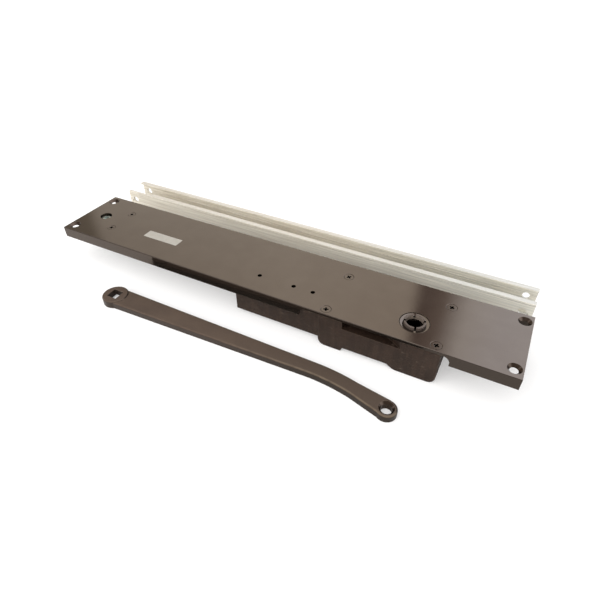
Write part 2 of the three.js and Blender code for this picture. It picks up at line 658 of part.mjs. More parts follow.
/** The barrel stops short of the right block's rounded end face. */
function trimmedBarrel(barrel) {
  const right = BODY_RIGHT - BLOCK_CORNER_RADIUS;
  const reach = [BODY_FRONT - CUT_MARGIN, BODY_REAR + CUT_MARGIN];
  const levels = [-CUT_MARGIN, BODY_HEIGHT + CUT_MARGIN];
  return cut(barrel, [block([right, BODY_RIGHT + CUT_MARGIN], reach, levels)]);
}

// =========================================================== spring housing
function springTube() {
  return ring(BORE_RADIUS, TUBE_RADIUS, 'x', BORE_AXIS, TUBE_LEFT, TUBE_RIGHT, BORE_SIDES);
}

function tubeSeal() {
  const from = TUBE_RIGHT + SEAT_GAP;
  const inner = BORE_RADIUS + 2 * SEAT_GAP;
  return sealRing(inner, TUBE_RADIUS, 'x', BORE_AXIS, from, from + TUBE_SEAL_WIDTH);
}

function tubeEndCap() {
  const hole = ADJUSTER_RADIUS + RUN_GAP;
  const shoulder = TUBE_LEFT - SEAT_GAP;
  const end = shoulder + TUBE_CAP_SPIGOT;
  const spigot = BORE_RADIUS - SEAT_GAP;
  const profile = [
    [hole, shoulder - TUBE_CAP_FLANGE],
    [TUBE_RADIUS - 1, shoulder - TUBE_CAP_FLANGE],
    [TUBE_RADIUS, shoulder - TUBE_CAP_FLANGE + 1],
    [TUBE_RADIUS, shoulder],
    [spigot, shoulder],
    [spigot, end],
    [hole, end],
    [hole, shoulder - TUBE_CAP_FLANGE],
  ];
  return turned(profile, 'x', BORE_AXIS, BORE_SIDES);
}

/** A lead screw held in the end cap; its thread carries the spring seat. */
function adjustingScrew() {
  const headRight = TUBE_LEFT - 2 * SEAT_GAP - TUBE_CAP_FLANGE;
  const headLeft = headRight - ADJUSTER_HEAD_LENGTH;
  const headOutline = hexagon(ADJUSTER_HEAD_ACROSS_FLATS, BORE_OFFSET, BORE_Z);
  const head = prism(headOutline, 'x', headLeft, headRight);
  const tip = SPRING_SEAT_RIGHT + SPIGOT_LENGTH + ADJUSTER_TRAVEL + ADJUSTER_END;
  const shank = bar(ADJUSTER_RADIUS, 'x', BORE_AXIS, headRight - CUT_MARGIN, tip, SMALL_SIDES);
  return head.add(shank);
}

/** The travelling nut that the spring stands on. */
function springSeat() {
  const hole = ADJUSTER_RADIUS + RUN_GAP;
  const face = SPRING_SEAT_RIGHT;
  const profile = [
    [hole, SPRING_SEAT_LEFT],
    [BORE_RADIUS - RUN_GAP, SPRING_SEAT_LEFT],
    [BORE_RADIUS - RUN_GAP, face],
    [SPIGOT_RADIUS, face],
    [SPIGOT_RADIUS, face + SPIGOT_LENGTH],
    [hole, face + SPIGOT_LENGTH],
    [hole, SPRING_SEAT_LEFT],
  ];
  return turned(profile, 'x', BORE_AXIS);
}

/** The spring's wire line: closed end turns, with even open turns between them. */
class SpringLine extends THREE.Curve {
  constructor(from, to) {
    super();
    this.from = from;
    this.to = to;
  }

  getPoint(t, target = new THREE.Vector3()) {
    const turns = t * SPRING_TURNS;
    const closedPitch = 2 * WIRE_RADIUS + SEAT_GAP;
    const openTurns = SPRING_TURNS - 2 * SPRING_END_TURNS;
    const openPitch = (this.to - this.from - 2 * SPRING_END_TURNS * closedPitch) / openTurns;
    const first = Math.min(turns, SPRING_END_TURNS);
    const last = Math.max(turns - SPRING_END_TURNS - openTurns, 0);
    const open = turns - first - last;
    const x = this.from + (first + last) * closedPitch + open * openPitch;
    const turn = turns * 2 * Math.PI;
    const y = BORE_AXIS.y + SPRING_RADIUS * Math.cos(turn);
    const z = BORE_AXIS.z + SPRING_RADIUS * Math.sin(turn);
    return target.set(x, y, z);
  }
}

function mainSpring() {
  const reach = WIRE_RADIUS + SEAT_GAP;
  const line = new SpringLine(SPRING_SEAT_RIGHT + reach, PISTON_HEAD_FROM - reach);
  const section = new THREE.Shape();
  for (let side = 0; side < SPRING_WIRE_SIDES; side += 1) {
    const turn = (side / SPRING_WIRE_SIDES) * 2 * Math.PI;
    const point = [WIRE_RADIUS * Math.cos(turn), WIRE_RADIUS * Math.sin(turn)];
    if (side === 0) {
      section.moveTo(...point);
    } else {
      section.lineTo(...point);
    }
  }
  return solidFrom(new THREE.ExtrudeGeometry(section, {
    steps: SPRING_TURNS * SPRING_STEPS_PER_TURN,
    extrudePath: line,
    bevelEnabled: false,
  }));
}

// ================================================================== gearing
/** The involute function. */
function involute(angle) {
  return Math.tan(angle) - angle;
}

/** Half the angle that a pinion tooth fills at a radius on its involute flank. */
function halfToothAngle(radius) {
  const thickness = (Math.PI * GEAR_MODULE) / 2 - TOOTH_THINNING;
  const baseRadius = PITCH_RADIUS * Math.cos(PRESSURE_ANGLE);
  const flankAngle = Math.acos(Math.min(baseRadius / radius, 1));
  return thickness / (2 * PITCH_RADIUS) + involute(PRESSURE_ANGLE) - involute(flankAngle);
}

/** The pinion's outline, with the middle of one tooth towards the rack at +Y. */
function pinionOutline() {
  const baseRadius = PITCH_RADIUS * Math.cos(PRESSURE_ANGLE);
  const rootRadius = PITCH_RADIUS - DEDENDUM;
  const flank = [];
  for (let step = 0; step <= FLANK_STEPS; step += 1) {
    const radius = baseRadius + ((PINION_TIP_RADIUS - baseRadius) * step) / FLANK_STEPS;
    flank.push({ radius, half: halfToothAngle(radius) });
  }
  const corners = [];
  for (let tooth = 0; tooth < PINION_TEETH; tooth += 1) {
    const middle = Math.PI / 2 + (tooth * 2 * Math.PI) / PINION_TEETH;
    const rising = [{ radius: rootRadius, half: flank[0].half }, ...flank];
    const falling = [...rising].reverse();
    for (const { radius, half } of rising) {
      corners.push([radius * Math.cos(middle - half), radius * Math.sin(middle - half)]);
    }
    for (const { radius, half } of falling) {
      corners.push([radius * Math.cos(middle + half), radius * Math.sin(middle + half)]);
    }
  }
  return polygon(corners);
}

/** The gap between two rack teeth, in (x, y), cut in from the front. */
function rackSpace(x) {
  const pitchLine = PITCH_RADIUS;
  const halfGap = (Math.PI * GEAR_MODULE) / 4 + TOOTH_THINNING / 2;
  const slope = Math.tan(PRESSURE_ANGLE);
  const mouth = pitchLine - ADDENDUM - CUT_MARGIN;
  const root = pitchLine + DEDENDUM;
  const atMouth = halfGap + (pitchLine - mouth) * slope;
  const atRoot = halfGap - (root - pitchLine) * slope;
  const outline = polygon([
    [x - atMouth, mouth],
    [x + atMouth, mouth],
    [x + atRoot, root],
    [x - atRoot, root],
  ]);
  return prism(outline, 'z', BORE_Z - BORE_RADIUS, BORE_Z + BORE_RADIUS);
}

// ================================================================== spindle
/** The spindle: pinion, running journals, and the socketed crown that drives the arm. */
function spindle() {
  const tailTo = PINION_FROM + CUT_MARGIN;
  const tail = bar(TAIL_RADIUS, 'z', SPINDLE_AXIS, LOWER_BEARING_FOOT, tailTo, ROUND_SIDES);
  const pinion = prism(pinionOutline(), 'z', PINION_FROM, PINION_TO);
  const crownTop = PLATE_TOP + SPINDLE_PROUD;
  const chamfer = SPINDLE_PROUD / 3;
  const journal = turned([
    [0, PINION_TO],
    [SPINDLE_RADIUS, PINION_TO],
    [SPINDLE_RADIUS, crownTop - chamfer],
    [SPINDLE_RADIUS - chamfer, crownTop],
    [0, crownTop],
  ], 'z', SPINDLE_AXIS, BORE_SIDES);
  const socketFloor = crownTop - SPINDLE_SOCKET_DEPTH;
  const socket = squareBar(SPINDLE_SOCKET, 0, 0, CROWN_PHASE, socketFloor, crownTop + CUT_MARGIN);
  return cut(joined([tail, pinion, journal]), [socket, ...crownNotches(crownTop)]);
}

/** Radial slots across the crown's rim. */
function crownNotches(crownTop) {
  const notches = [];
  for (let count = 0; count < CROWN_NOTCHES; count += 1) {
    const length = SPINDLE_RADIUS;
    const geometry = new THREE.BoxGeometry(length, CROWN_NOTCH_WIDTH, 2 * CROWN_NOTCH_DEPTH);
    geometry.translate(length / 2 + SPINDLE_SOCKET / 2, 0, crownTop);
    geometry.rotateZ(CROWN_PHASE + (count * 2 * Math.PI) / CROWN_NOTCHES);
    notches.push(solidFrom(geometry));
  }
  return notches;
}

function lowerBearing() {
  const inner = TAIL_RADIUS + RUN_GAP;
  const outer = inner + BEARING_WALL;
  return ring(inner, outer, 'z', SPINDLE_AXIS, LOWER_BEARING_FOOT, LOWER_BEARING_TOP);
}

function thrustWasher() {
  const outer = PINION_CAVITY_RADIUS - RUN_GAP;
  const top = THRUST_WASHER_FOOT + THRUST_WASHER_THICKNESS;
  return ring(TAIL_RADIUS + RUN_GAP, outer, 'z', SPINDLE_AXIS, THRUST_WASHER_FOOT, top);
}

function upperBearing() {
  const inner = SPINDLE_RADIUS + RUN_GAP;
  const top = UPPER_BEARING_FOOT + UPPER_BEARING_HEIGHT;
  return ring(inner, inner + BEARING_WALL, 'z', SPINDLE_AXIS, UPPER_BEARING_FOOT, top, BORE_SIDES);
}

function spindleSeal() {
  const inner = SPINDLE_RADIUS + RUN_GAP;
  const top = SPINDLE_SEAL_FOOT + SPINDLE_SEAL_HEIGHT;
  return sealRing(inner, inner + BEARING_WALL, 'z', SPINDLE_AXIS, SPINDLE_SEAL_FOOT, top);
}

/** The ring that fills the plate's opening round the spindle and holds the seal down. */
function bearingCap() {
  const inner = SPINDLE_RADIUS + RUN_GAP;
  const spigot = TOP_BORE_RADIUS - SEAT_GAP;
  const flange = SPINDLE_OPENING_RADIUS - SEAT_GAP;
  const top = PLATE_TOP - CAP_BELOW_PLATE;
  const bevel = CAP_BELOW_PLATE;
  const profile = [
    [inner, CAP_FOOT],
    [spigot, CAP_FOOT],
    [spigot, PLATE_UNDERSIDE],
    [flange, PLATE_UNDERSIDE],
    [flange, top - bevel],
    [flange - bevel, top],
    [inner, top],
    [inner, CAP_FOOT],
  ];
  return turned(profile, 'z', SPINDLE_AXIS, BORE_SIDES);
}

// =================================================================== piston
/** The piston's round blank, with its seal groove, waist and spring spigot. */
function pistonBlank(rackRight) {
  const headLeft = PISTON_HEAD_FROM;
  const headRight = headLeft + PISTON_HEAD_LENGTH;
  const landLeft = -RACK_LEAD - PISTON_LAND_LENGTH;
  const grooveLeft = headLeft + PISTON_HEAD_LENGTH / 3;
  const grooveRight = grooveLeft + PISTON_SEAL_WIDTH + 2 * SEAT_GAP;
  const grooveRadius = PISTON_RADIUS - PISTON_SEAL_DEPTH - SEAT_GAP;
  const slope = PISTON_RADIUS - PISTON_WAIST_RADIUS;
  const profile = [
    [0, headLeft - SPIGOT_LENGTH],
    [SPIGOT_RADIUS, headLeft - SPIGOT_LENGTH],
    [SPIGOT_RADIUS, headLeft],
    [PISTON_RADIUS, headLeft],
    [PISTON_RADIUS, grooveLeft],
    [grooveRadius, grooveLeft],
    [grooveRadius, grooveRight],
    [PISTON_RADIUS, grooveRight],
    [PISTON_RADIUS, headRight],
    [PISTON_WAIST_RADIUS, headRight + slope],
    [PISTON_WAIST_RADIUS, landLeft - slope],
    [PISTON_RADIUS, landLeft],
    [PISTON_RADIUS, rackRight],
    [0, rackRight],
  ];
  return turned(profile, 'x', BORE_AXIS, BORE_SIDES);
}

/** Where the rack ends, just short of the end plug. */
function rackEnd() {
  return BODY_RIGHT - END_PLUG_RECESS - END_PLUG_LENGTH - 2 * SEAT_GAP;
}

/** The check valve's chamber and its way out into the waist. */
function checkPassages() {
  const mouth = PISTON_HEAD_FROM - SPIGOT_LENGTH;
  const chamberEnd = mouth + CHECK_CHAMBER_DEPTH;
  const crossing = PISTON_HEAD_FROM + PISTON_HEAD_LENGTH + SPIGOT_LENGTH;
  const chamberRadius = CHECK_BALL_RADIUS + RUN_GAP;
  const crossCentre = new THREE.Vector3(crossing, BORE_OFFSET, 0);
  const [low, high] = [BORE_Z - BORE_RADIUS, BORE_Z + BORE_RADIUS];
  return [
    bar(chamberRadius, 'x', BORE_AXIS, mouth - CUT_MARGIN, chamberEnd, SMALL_SIDES),
    bar(CHECK_PASSAGE_RADIUS, 'x', BORE_AXIS, chamberEnd - CUT_MARGIN, crossing, SMALL_SIDES),
    bar(CHECK_PASSAGE_RADIUS, 'z', crossCentre, low, high, SMALL_SIDES),
  ];
}

/** The piston; past its land it is milled to a rack that clears the spindle's bearings. */
function piston() {
  const rackRight = rackEnd();
  const flatFront = BORE_OFFSET - BORE_RADIUS - CUT_MARGIN;
  const tipLine = PITCH_RADIUS - ADDENDUM;
  const sides = [BORE_Z - BORE_RADIUS, BORE_Z + BORE_RADIUS];
  const length = [-RACK_LEAD, rackRight + CUT_MARGIN];
  const flat = block(length, [flatFront, tipLine], sides);
  const shoulder = [flatFront, TOP_BORE_RADIUS + SEAT_GAP];
  const above = block(length, shoulder, [PINION_TO - SEAT_GAP, sides[1]]);
  const below = block(length, shoulder, [sides[0], PINION_FROM + SEAT_GAP]);
  const pitch = Math.PI * GEAR_MODULE;
  const spaces = [];
  for (let x = -2 * pitch; x < rackRight; x += pitch) {
    spaces.push(rackSpace(x));
  }
  return cut(pistonBlank(rackRight), [flat, above, below, ...spaces, ...checkPassages()]);
}

function pistonSeal() {
  const from = PISTON_HEAD_FROM + PISTON_HEAD_LENGTH / 3 + SEAT_GAP;
  const inner = PISTON_RADIUS - PISTON_SEAL_DEPTH;
  return ring(inner, PISTON_RADIUS, 'x', BORE_AXIS, from, from + PISTON_SEAL_WIDTH, BORE_SIDES);
}

function checkBall() {
  const edge = PISTON_HEAD_FROM - SPIGOT_LENGTH + CHECK_CHAMBER_DEPTH;
  const sink = Math.sqrt(CHECK_BALL_RADIUS ** 2 - CHECK_PASSAGE_RADIUS ** 2);
  const geometry = new THREE.SphereGeometry(CHECK_BALL_RADIUS, FINE_SIDES, FINE_SIDES / 2);
  return solidFrom(geometry.translate(edge - sink - SEAT_GAP, BORE_OFFSET, BORE_Z));
}

function checkRetainer() {
  const from = PISTON_HEAD_FROM - SPIGOT_LENGTH + SEAT_GAP;
  const to = from + CHECK_RETAINER_LENGTH;
  return ring(CHECK_PASSAGE_RADIUS, CHECK_BALL_RADIUS, 'x', BORE_AXIS, from, to, SMALL_SIDES);
}

// ================================================================= end plug
function endPlug() {
  const right = BODY_RIGHT - END_PLUG_RECESS;
  const left = right - END_PLUG_LENGTH;
  const radius = BORE_RADIUS - SEAT_GAP;
  const sealFrom = left + END_PLUG_LENGTH / 3;
  const sealTo = sealFrom + END_PLUG_SEAL_WIDTH + 2 * SEAT_GAP;
  const grooveRadius = radius - END_PLUG_SEAL_DEPTH - SEAT_GAP;
  const blank = turned([
    [0, left],
    [radius, left],
    [radius, sealFrom],
    [grooveRadius, sealFrom],
    [grooveRadius, sealTo],
    [radius, sealTo],
    [radius, right],
    [0, right],
  ], 'x', BORE_AXIS, BORE_SIDES);
  const pinHoles = [-1, 1].map((side) => {
    const centre = new THREE.Vector3(0, BORE_OFFSET + side * END_PLUG_PIN_SPREAD, BORE_Z);
    return bar(END_PLUG_PIN_RADIUS, 'x', centre, right - END_PLUG_LENGTH / 3, right + CUT_MARGIN, FINE_SIDES);
  });
  return cut(blank, pinHoles);
}

function plugSeal() {
  const left = BODY_RIGHT - END_PLUG_RECESS - END_PLUG_LENGTH;
  const from = left + END_PLUG_LENGTH / 3 + SEAT_GAP;
  const outer = BORE_RADIUS - SEAT_GAP;
  return sealRing(outer - END_PLUG_SEAL_DEPTH, outer, 'x', BORE_AXIS, from, from + END_PLUG_SEAL_WIDTH);
}

// =================================================================== valves
/** A needle valve: slotted head, seal groove, and a long cone at the tip. */
function valveScrew(x) {
  const centre = new THREE.Vector3(x, VALVE_Y, 0);
  const top = BODY_HEIGHT - VALVE_BELOW_FACE;
  const foot = top - VALVE_LENGTH;
  const grooveTop = top - VALVE_SEAL_BELOW_TOP;
  const grooveFoot = grooveTop - VALVE_SEAL_WIDTH - 2 * SEAT_GAP;
  const grooveRadius = VALVE_RADIUS - VALVE_SEAL_DEPTH - SEAT_GAP;
  const blank = turned([
    [0, foot],
    [VALVE_TIP_RADIUS, foot],
    [VALVE_RADIUS, foot + VALVE_TIP_LENGTH],
    [VALVE_RADIUS, grooveFoot],
    [grooveRadius, grooveFoot],
    [grooveRadius, grooveTop],
    [VALVE_RADIUS, grooveTop],
    [VALVE_RADIUS, top],
    [0, top],
  ], 'z', centre, SMALL_SIDES);
  const slotX = [x - VALVE_SLOT_WIDTH / 2, x + VALVE_SLOT_WIDTH / 2];
  const slotY = [VALVE_Y - VALVE_RADIUS - CUT_MARGIN, VALVE_Y + VALVE_RADIUS + CUT_MARGIN];
  return cut(blank, [block(slotX, slotY, [top - VALVE_SLOT_DEPTH, top + CUT_MARGIN])]);
}

function valveSeal(x) {
  const top = BODY_HEIGHT - VALVE_BELOW_FACE - VALVE_SEAL_BELOW_TOP - SEAT_GAP;
  const centre = new THREE.Vector3(x, VALVE_Y, 0);
  const inner = VALVE_RADIUS - VALVE_SEAL_DEPTH;
  return sealRing(inner, VALVE_RADIUS, 'z', centre, top - VALVE_SEAL_WIDTH, top, SMALL_SIDES);
}

// =================================================================== screws
/** A flat-head screw set into the plate, with a cross recess. */
function flatHeadScrew({ x, y }, headRadius, shankRadius, length) {
  const centre = new THREE.Vector3(x, y, 0);
  const top = PLATE_TOP - HEAD_BELOW_PLATE;
  const blank = turned([
    [0, top - length],
    [shankRadius, top - length],
    [shankRadius, top - (headRadius - shankRadius)],
    [headRadius, top],
    [0, top],
  ], 'z', centre, SMALL_SIDES);
  const reach = headRadius / 2;
  const half = HEAD_RECESS_BLADE / 2;
  const depth = [top - HEAD_RECESS_DEPTH, top + CUT_MARGIN];
  return cut(blank, [
    block([x - reach, x + reach], [y - half, y + half], depth),
    block([x - half, x + half], [y - reach, y + reach], depth),
  ]);
}

function bodyScrew(place) {
  return flatHeadScrew(place, BODY_SCREW_HEAD_RADIUS, BODY_SCREW_RADIUS, BODY_SCREW_LENGTH);
}

function bracketScrew(place) {
  return flatHeadScrew(place, BRACKET_SCREW_HEAD_RADIUS, BRACKET_SCREW_RADIUS, BRACKET_SCREW_LENGTH);
}

// =========================================================== hanger bracket
/** The bracket's side view in (x, z): foot, joggle, and the lowered tongue. */
function hangerOutline() {
  const footRight = BRACKET_SCREW_X + HANGER_FOOT_LENGTH / 2;
  const footLeft = BRACKET_SCREW_X - HANGER_FOOT_LENGTH / 2;
  const tongueRight = footLeft - HANGER_JOGGLE;
  const tongueLeft = tongueRight - HANGER_TONGUE_LENGTH;
  return polygon([
    [tongueLeft, TONGUE_UNDERSIDE],
    [tongueRight, TONGUE_UNDERSIDE],
    [footLeft, HANGER_TOP - HANGER_THICKNESS],
    [footRight, HANGER_TOP - HANGER_THICKNESS],
    [footRight, HANGER_TOP],
    [footLeft, HANGER_TOP],
    [tongueRight, TONGUE_TOP],
    [tongueLeft, TONGUE_TOP],
  ]);
}

function hangerBracket() {
  const front = PLATE_MIDDLE_Y - HANGER_WIDTH / 2;
  const blank = prism(hangerOutline(), 'y', front, front + HANGER_WIDTH);
  const levels = [TONGUE_UNDERSIDE - CUT_MARGIN, HANGER_TOP + CUT_MARGIN];
  const screwHoles = bracketScrewPlaces().map(({ x, y }) => {
    const centre = new THREE.Vector3(x, y, 0);
    return bar(BRACKET_SCREW_RADIUS + SEAT_GAP, 'z', centre, ...levels, SMALL_SIDES);
  });
  const centre = new THREE.Vector3(HANGER_X, PLATE_MIDDLE_Y, 0);
  const hangerHole = bar(HANGER_SCREW_RADIUS + SEAT_GAP, 'z', centre, ...levels, SMALL_SIDES);
  return cut(blank, [...screwHoles, hangerHole]);
}

function hangerScrew() {
  const centre = new THREE.Vector3(HANGER_X, PLATE_MIDDLE_Y, 0);
  const seat = TONGUE_TOP + SEAT_GAP;
  const top = seat + HANGER_SCREW_HEAD_HEIGHT;
  const bevel = HANGER_SCREW_HEAD_HEIGHT / 4;
  const blank = turned([
    [0, seat - HANGER_SCREW_LENGTH],
    [HANGER_SCREW_RADIUS, seat - HANGER_SCREW_LENGTH],
    [HANGER_SCREW_RADIUS, seat],
    [HANGER_SCREW_HEAD_RADIUS, seat],
    [HANGER_SCREW_HEAD_RADIUS, top - bevel],
    [HANGER_SCREW_HEAD_RADIUS - bevel, top],
    [0, top],
  ], 'z', centre, ROUND_SIDES);
  const socket = prism(hexagon(HANGER_SCREW_RADIUS * 1.6, HANGER_X, PLATE_MIDDLE_Y), 'z',
    top - HANGER_SCREW_HEAD_HEIGHT / 2, top + CUT_MARGIN);
  return cut(blank, [socket]);
}

function hangerNut() {
  const centre = new THREE.Vector3(HANGER_X, PLATE_MIDDLE_Y, 0);
  const top = TONGUE_UNDERSIDE - SEAT_GAP;
  const foot = top - HANGER_NUT_HEIGHT;
  const nut = prism(hexagon(HANGER_NUT_ACROSS_FLATS, HANGER_X, PLATE_MIDDLE_Y), 'z', foot, top);
  const radius = HANGER_SCREW_RADIUS + SEAT_GAP;
  const hole = bar(radius, 'z', centre, foot - CUT_MARGIN, top + CUT_MARGIN, SMALL_SIDES);
  return cut(nut, [hole]);
}

// ================================================================ lever arm
/** The arm's middle line and half widths, from the boss to the eye, in its own frame. */
function armStations() {
  const knee = new THREE.Vector2(ARM_KNEE, 0);
  const toe = new THREE.Vector2(Math.cos(ARM_BEND), Math.sin(ARM_BEND));
  const bendIn = new THREE.Vector2(ARM_KNEE - ARM_BEND_REACH, 0);
  const bendOut = knee.clone().addScaledVector(toe, ARM_BEND_REACH);
  const curve = new THREE.QuadraticBezierCurve(bendIn, knee, bendOut);
  const stations = [{ at: new THREE.Vector2(0, 0), half: ARM_ROOT_HALF_WIDTH }];
  const bendSteps = 8;
  for (let step = 0; step <= bendSteps; step += 1) {
    stations.push({ at: curve.getPoint(step / bendSteps), half: ARM_KNEE_HALF_WIDTH });
  }
  stations.push({ at: knee.clone().addScaledVector(toe, ARM_TOE), half: ARM_EYE_RADIUS });
  return stations;
}

/** The shank's outline, from the boss's middle to round the eye. */
function shankOutline() {
  const stations = armStations();
  const last = stations.length - 1;
  const [near, far] = [[], []];
  stations.forEach(({ at, half }, i) => {
    const before = stations[Math.max(i - 1, 0)].at;
    const after = stations[Math.min(i + 1, last)].at;
    const along = after.clone().sub(before).normalize();
    const across = new THREE.Vector2(-along.y, along.x);
    near.push(at.clone().addScaledVector(across, -half));
    far.unshift(at.clone().addScaledVector(across, half));
  });
  const outline = new THREE.Shape();
  outline.setFromPoints(near);
  const eye = stations[last].at;
  outline.absarc(eye.x, eye.y, ARM_EYE_RADIUS, ARM_BEND - Math.PI / 2, ARM_BEND + Math.PI / 2, false);
  far.forEach((point) => outline.lineTo(point.x, point.y));
  return outline;
}

function leverArm() {
  const shank = prism(shankOutline(), 'z', 0, ARM_THICKNESS, ARM_EDGE_RADIUS);
  const round = ARM_EDGE_RADIUS;
  const boss = turned([
    [0, 0],
    [ARM_BOSS_RADIUS - round, 0],
    [ARM_BOSS_RADIUS, round],
    [ARM_BOSS_RADIUS, ARM_BOSS_THICKNESS - round],
    [ARM_BOSS_RADIUS - round, ARM_BOSS_THICKNESS],
    [0, ARM_BOSS_THICKNESS],
  ], 'z', SPINDLE_AXIS, BORE_SIDES);
  const square = squareBar(ARM_SQUARE, 0, 0, 0, -CUT_MARGIN, ARM_BOSS_THICKNESS + CUT_MARGIN);
  const stations = armStations();
  const eye = stations[stations.length - 1].at;
  const hole = turned([
    [0, -CUT_MARGIN],
    [ARM_EYE_HOLE_RADIUS, -CUT_MARGIN],
    [ARM_EYE_HOLE_RADIUS, ARM_THICKNESS - ARM_EYE_CHAMFER],
    [ARM_EYE_HOLE_RADIUS + ARM_EYE_CHAMFER + CUT_MARGIN, ARM_THICKNESS + CUT_MARGIN],
    [0, ARM_THICKNESS + CUT_MARGIN],
  ], 'z', new THREE.Vector3(eye.x, eye.y, 0), ROUND_SIDES);
  return cut(shank.add(boss), [square, hole]);
}

// ============================================================== slide track
/** Half of the channel's section in (y, z), from the middle of its floor to its lip. */
function halfTrackSection() {
  const outer = TRACK_WIDTH / 2;
  const inner = outer - TRACK_WALL;
  const corners = [[0, 0], [outer, 0], [outer, TRACK_HEIGHT]];
  corners.push([outer - TRACK_LIP, TRACK_HEIGHT]);
  corners.push([outer - TRACK_LIP, TRACK_HEIGHT - TRACK_LIP_THICKNESS]);
  corners.push([inner, TRACK_HEIGHT - TRACK_LIP_THICKNESS]);
  for (const level of [...TRACK_RIB_HEIGHTS].reverse()) {
    corners.push([inner, level + TRACK_RIB / 2]);
    corners.push([inner - TRACK_RIB, level + TRACK_RIB / 2]);
    corners.push([inner - TRACK_RIB, level - TRACK_RIB / 2]);
    corners.push([inner, level - TRACK_RIB / 2]);
  }
  corners.push([inner, TRACK_WALL]);
  corners.push([0, TRACK_WALL]);
  return corners;
}

/** The channel's whole section, mirrored about its middle. */
function trackSection() {
  const right = halfTrackSection().slice(1, -1);
  const left = right.map(([y, z]) => [-y, z]).reverse();
  return polygon([...right, ...left]);
}

/** The cutter that rounds the front wall's upper corner at the left end. */
function trackCorner(left, outerFront) {
  const round = TRACK_CORNER_RADIUS;
  const square = block(
    [left - CUT_MARGIN, left + round],
    [outerFront - CUT_MARGIN, outerFront + TRACK_WALL + CUT_MARGIN],
    [TRACK_HEIGHT - round, TRACK_HEIGHT + CUT_MARGIN],
  );
  const reach = [outerFront - 2 * CUT_MARGIN, outerFront + TRACK_WALL + 2 * CUT_MARGIN];
  return square.subtract(crossBar(round, left + round, TRACK_HEIGHT - round, ...reach));
}

function slideTrack() {
  const left = -TRACK_LENGTH / 2;
  const right = TRACK_LENGTH / 2;
  const front = -TRACK_WIDTH / 2;
  const channel = prism(trackSection(), 'x', left, right);
  const entryY = [front + TRACK_WALL, front + TRACK_LIP + CUT_MARGIN];
  const entryZ = [TRACK_HEIGHT - TRACK_LIP_THICKNESS, TRACK_HEIGHT + CUT_MARGIN];
  const cutters = [block([left - CUT_MARGIN, left + TRACK_ENTRY], entryY, entryZ), trackCorner(left, front)];
  const holeZ = TRACK_HEIGHT - TRACK_HOLE_BELOW_TOP;
  const through = [front - CUT_MARGIN, -front + CUT_MARGIN];
  const frontWall = [front - CUT_MARGIN, front + TRACK_WALL + TRACK_RIB + CUT_MARGIN];
  for (const [end, inward] of [[left, 1], [right, -1]]) {
    cutters.push(crossBar(TRACK_HOLE_RADIUS, end + inward * TRACK_HOLE_FROM_END, holeZ, ...through));
    const pilotX = end + inward * TRACK_PILOT_FROM_END;
    const pilotZ = holeZ - TRACK_PILOT_BELOW_HOLE;
    cutters.push(crossBar(TRACK_PILOT_RADIUS, pilotX, pilotZ, ...frontWall, FINE_SIDES));
  }
  return cut(channel, cutters);
}

// ================================================================= the set
/** Everything that is fastened together: the plate, the body and what they hold. */
function closerUnit() {
  const unit = new THREE.Group();
  unit.add(
    part('face_plate', facePlate(), BRONZE_PAINT),
    part('closer_body', closerBody(), CAST_IRON),
    part('spring_tube', springTube(), DARK_STEEL),
    part('tube_seal', tubeSeal(), RUBBER),
    part('tube_end_cap', tubeEndCap(), DARK_STEEL),
    part('adjusting_screw', adjustingScrew(), GROUND_STEEL),
    part('spring_seat', springSeat(), GROUND_STEEL),
    part('main_spring', mainSpring(), SPRING_STEEL),
    part('piston', piston(), GROUND_STEEL),
    part('piston_seal', pistonSeal(), RUBBER),
    part('check_ball', checkBall(), GROUND_STEEL),
    part('check_retainer', checkRetainer(), BRASS),
    part('spindle', spindle(), GROUND_STEEL),
    part('lower_bearing', lowerBearing(), BRASS),
    part('thrust_washer', thrustWasher(), BRASS),
    part('upper_bearing', upperBearing(), BRASS),
    part('spindle_seal', spindleSeal(), RUBBER),
    part('bearing_cap', bearingCap(), BRONZE_PAINT),
    part('end_plug', endPlug(), DARK_STEEL),
    part('plug_seal', plugSeal(), RUBBER),
    part('hanger_bracket', hangerBracket(), ZINC),
    part('hanger_screw', hangerScrew(), ZINC),
    part('hanger_nut', hangerNut(), ZINC),
  );
  for (const place of bodyScrewPlaces()) {
    unit.add(part(place.name, bodyScrew(place), BRONZE_PAINT));
  }
  for (const place of bracketScrewPlaces()) {
    unit.add(part(place.name, bracketScrew(place), BRONZE_PAINT));
  }
  for (const { name, x } of VALVES) {
    unit.add(part(name, valveScrew(x), BRASS));
    unit.add(part(`${name}_seal`, valveSeal(x), RUBBER));
  }
  return unit;
}

/** The loose arm, laid in front of the plate. */
function looseArm() {
  const arm = part('lever_arm', leverArm(), FORGED_PAINT);
  arm.position.set(ARM_BOSS_X, ARM_BOSS_Y, 0);
  arm.rotation.z = ARM_YAW;
  return arm;
}

/** The loose track, laid open side up behind the plate. */
function looseTrack() {
  const track = part('slide_track', slideTrack(), ALUMINIUM);
  const middleX = (PLATE_LEFT + PLATE_RIGHT) / 2 + TRACK_SHIFT_X;
  const middleY = PLATE_REAR + TRACK_BEHIND_PLATE + TRACK_WIDTH / 2;
  track.position.set(middleX, middleY, 0);
  track.rotation.z = TRACK_SKEW;
  return track;
}

const closerSet = new THREE.Group();
closerSet.add(closerUnit(), looseArm(), looseTrack());
const extent = new THREE.Box3().setFromObject(closerSet, true);
const middle = extent.getCenter(new THREE.Vector3());
closerSet.position.set(-middle.x, -middle.y, -extent.min.z);

export default closerSet;
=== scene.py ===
"""A concealed overhead door closer set: face plate and closer, lever arm and slide track.

Every length is in metres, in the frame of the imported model: X runs along the face plate, Y from the lever arm
towards the slide track, and Z up out of the face plate.
"""

import json
import logging
import math
from dataclasses import dataclass
from enum import Enum, IntEnum
from typing import Callable, Sequence

import bpy
from mathutils import Matrix, Vector


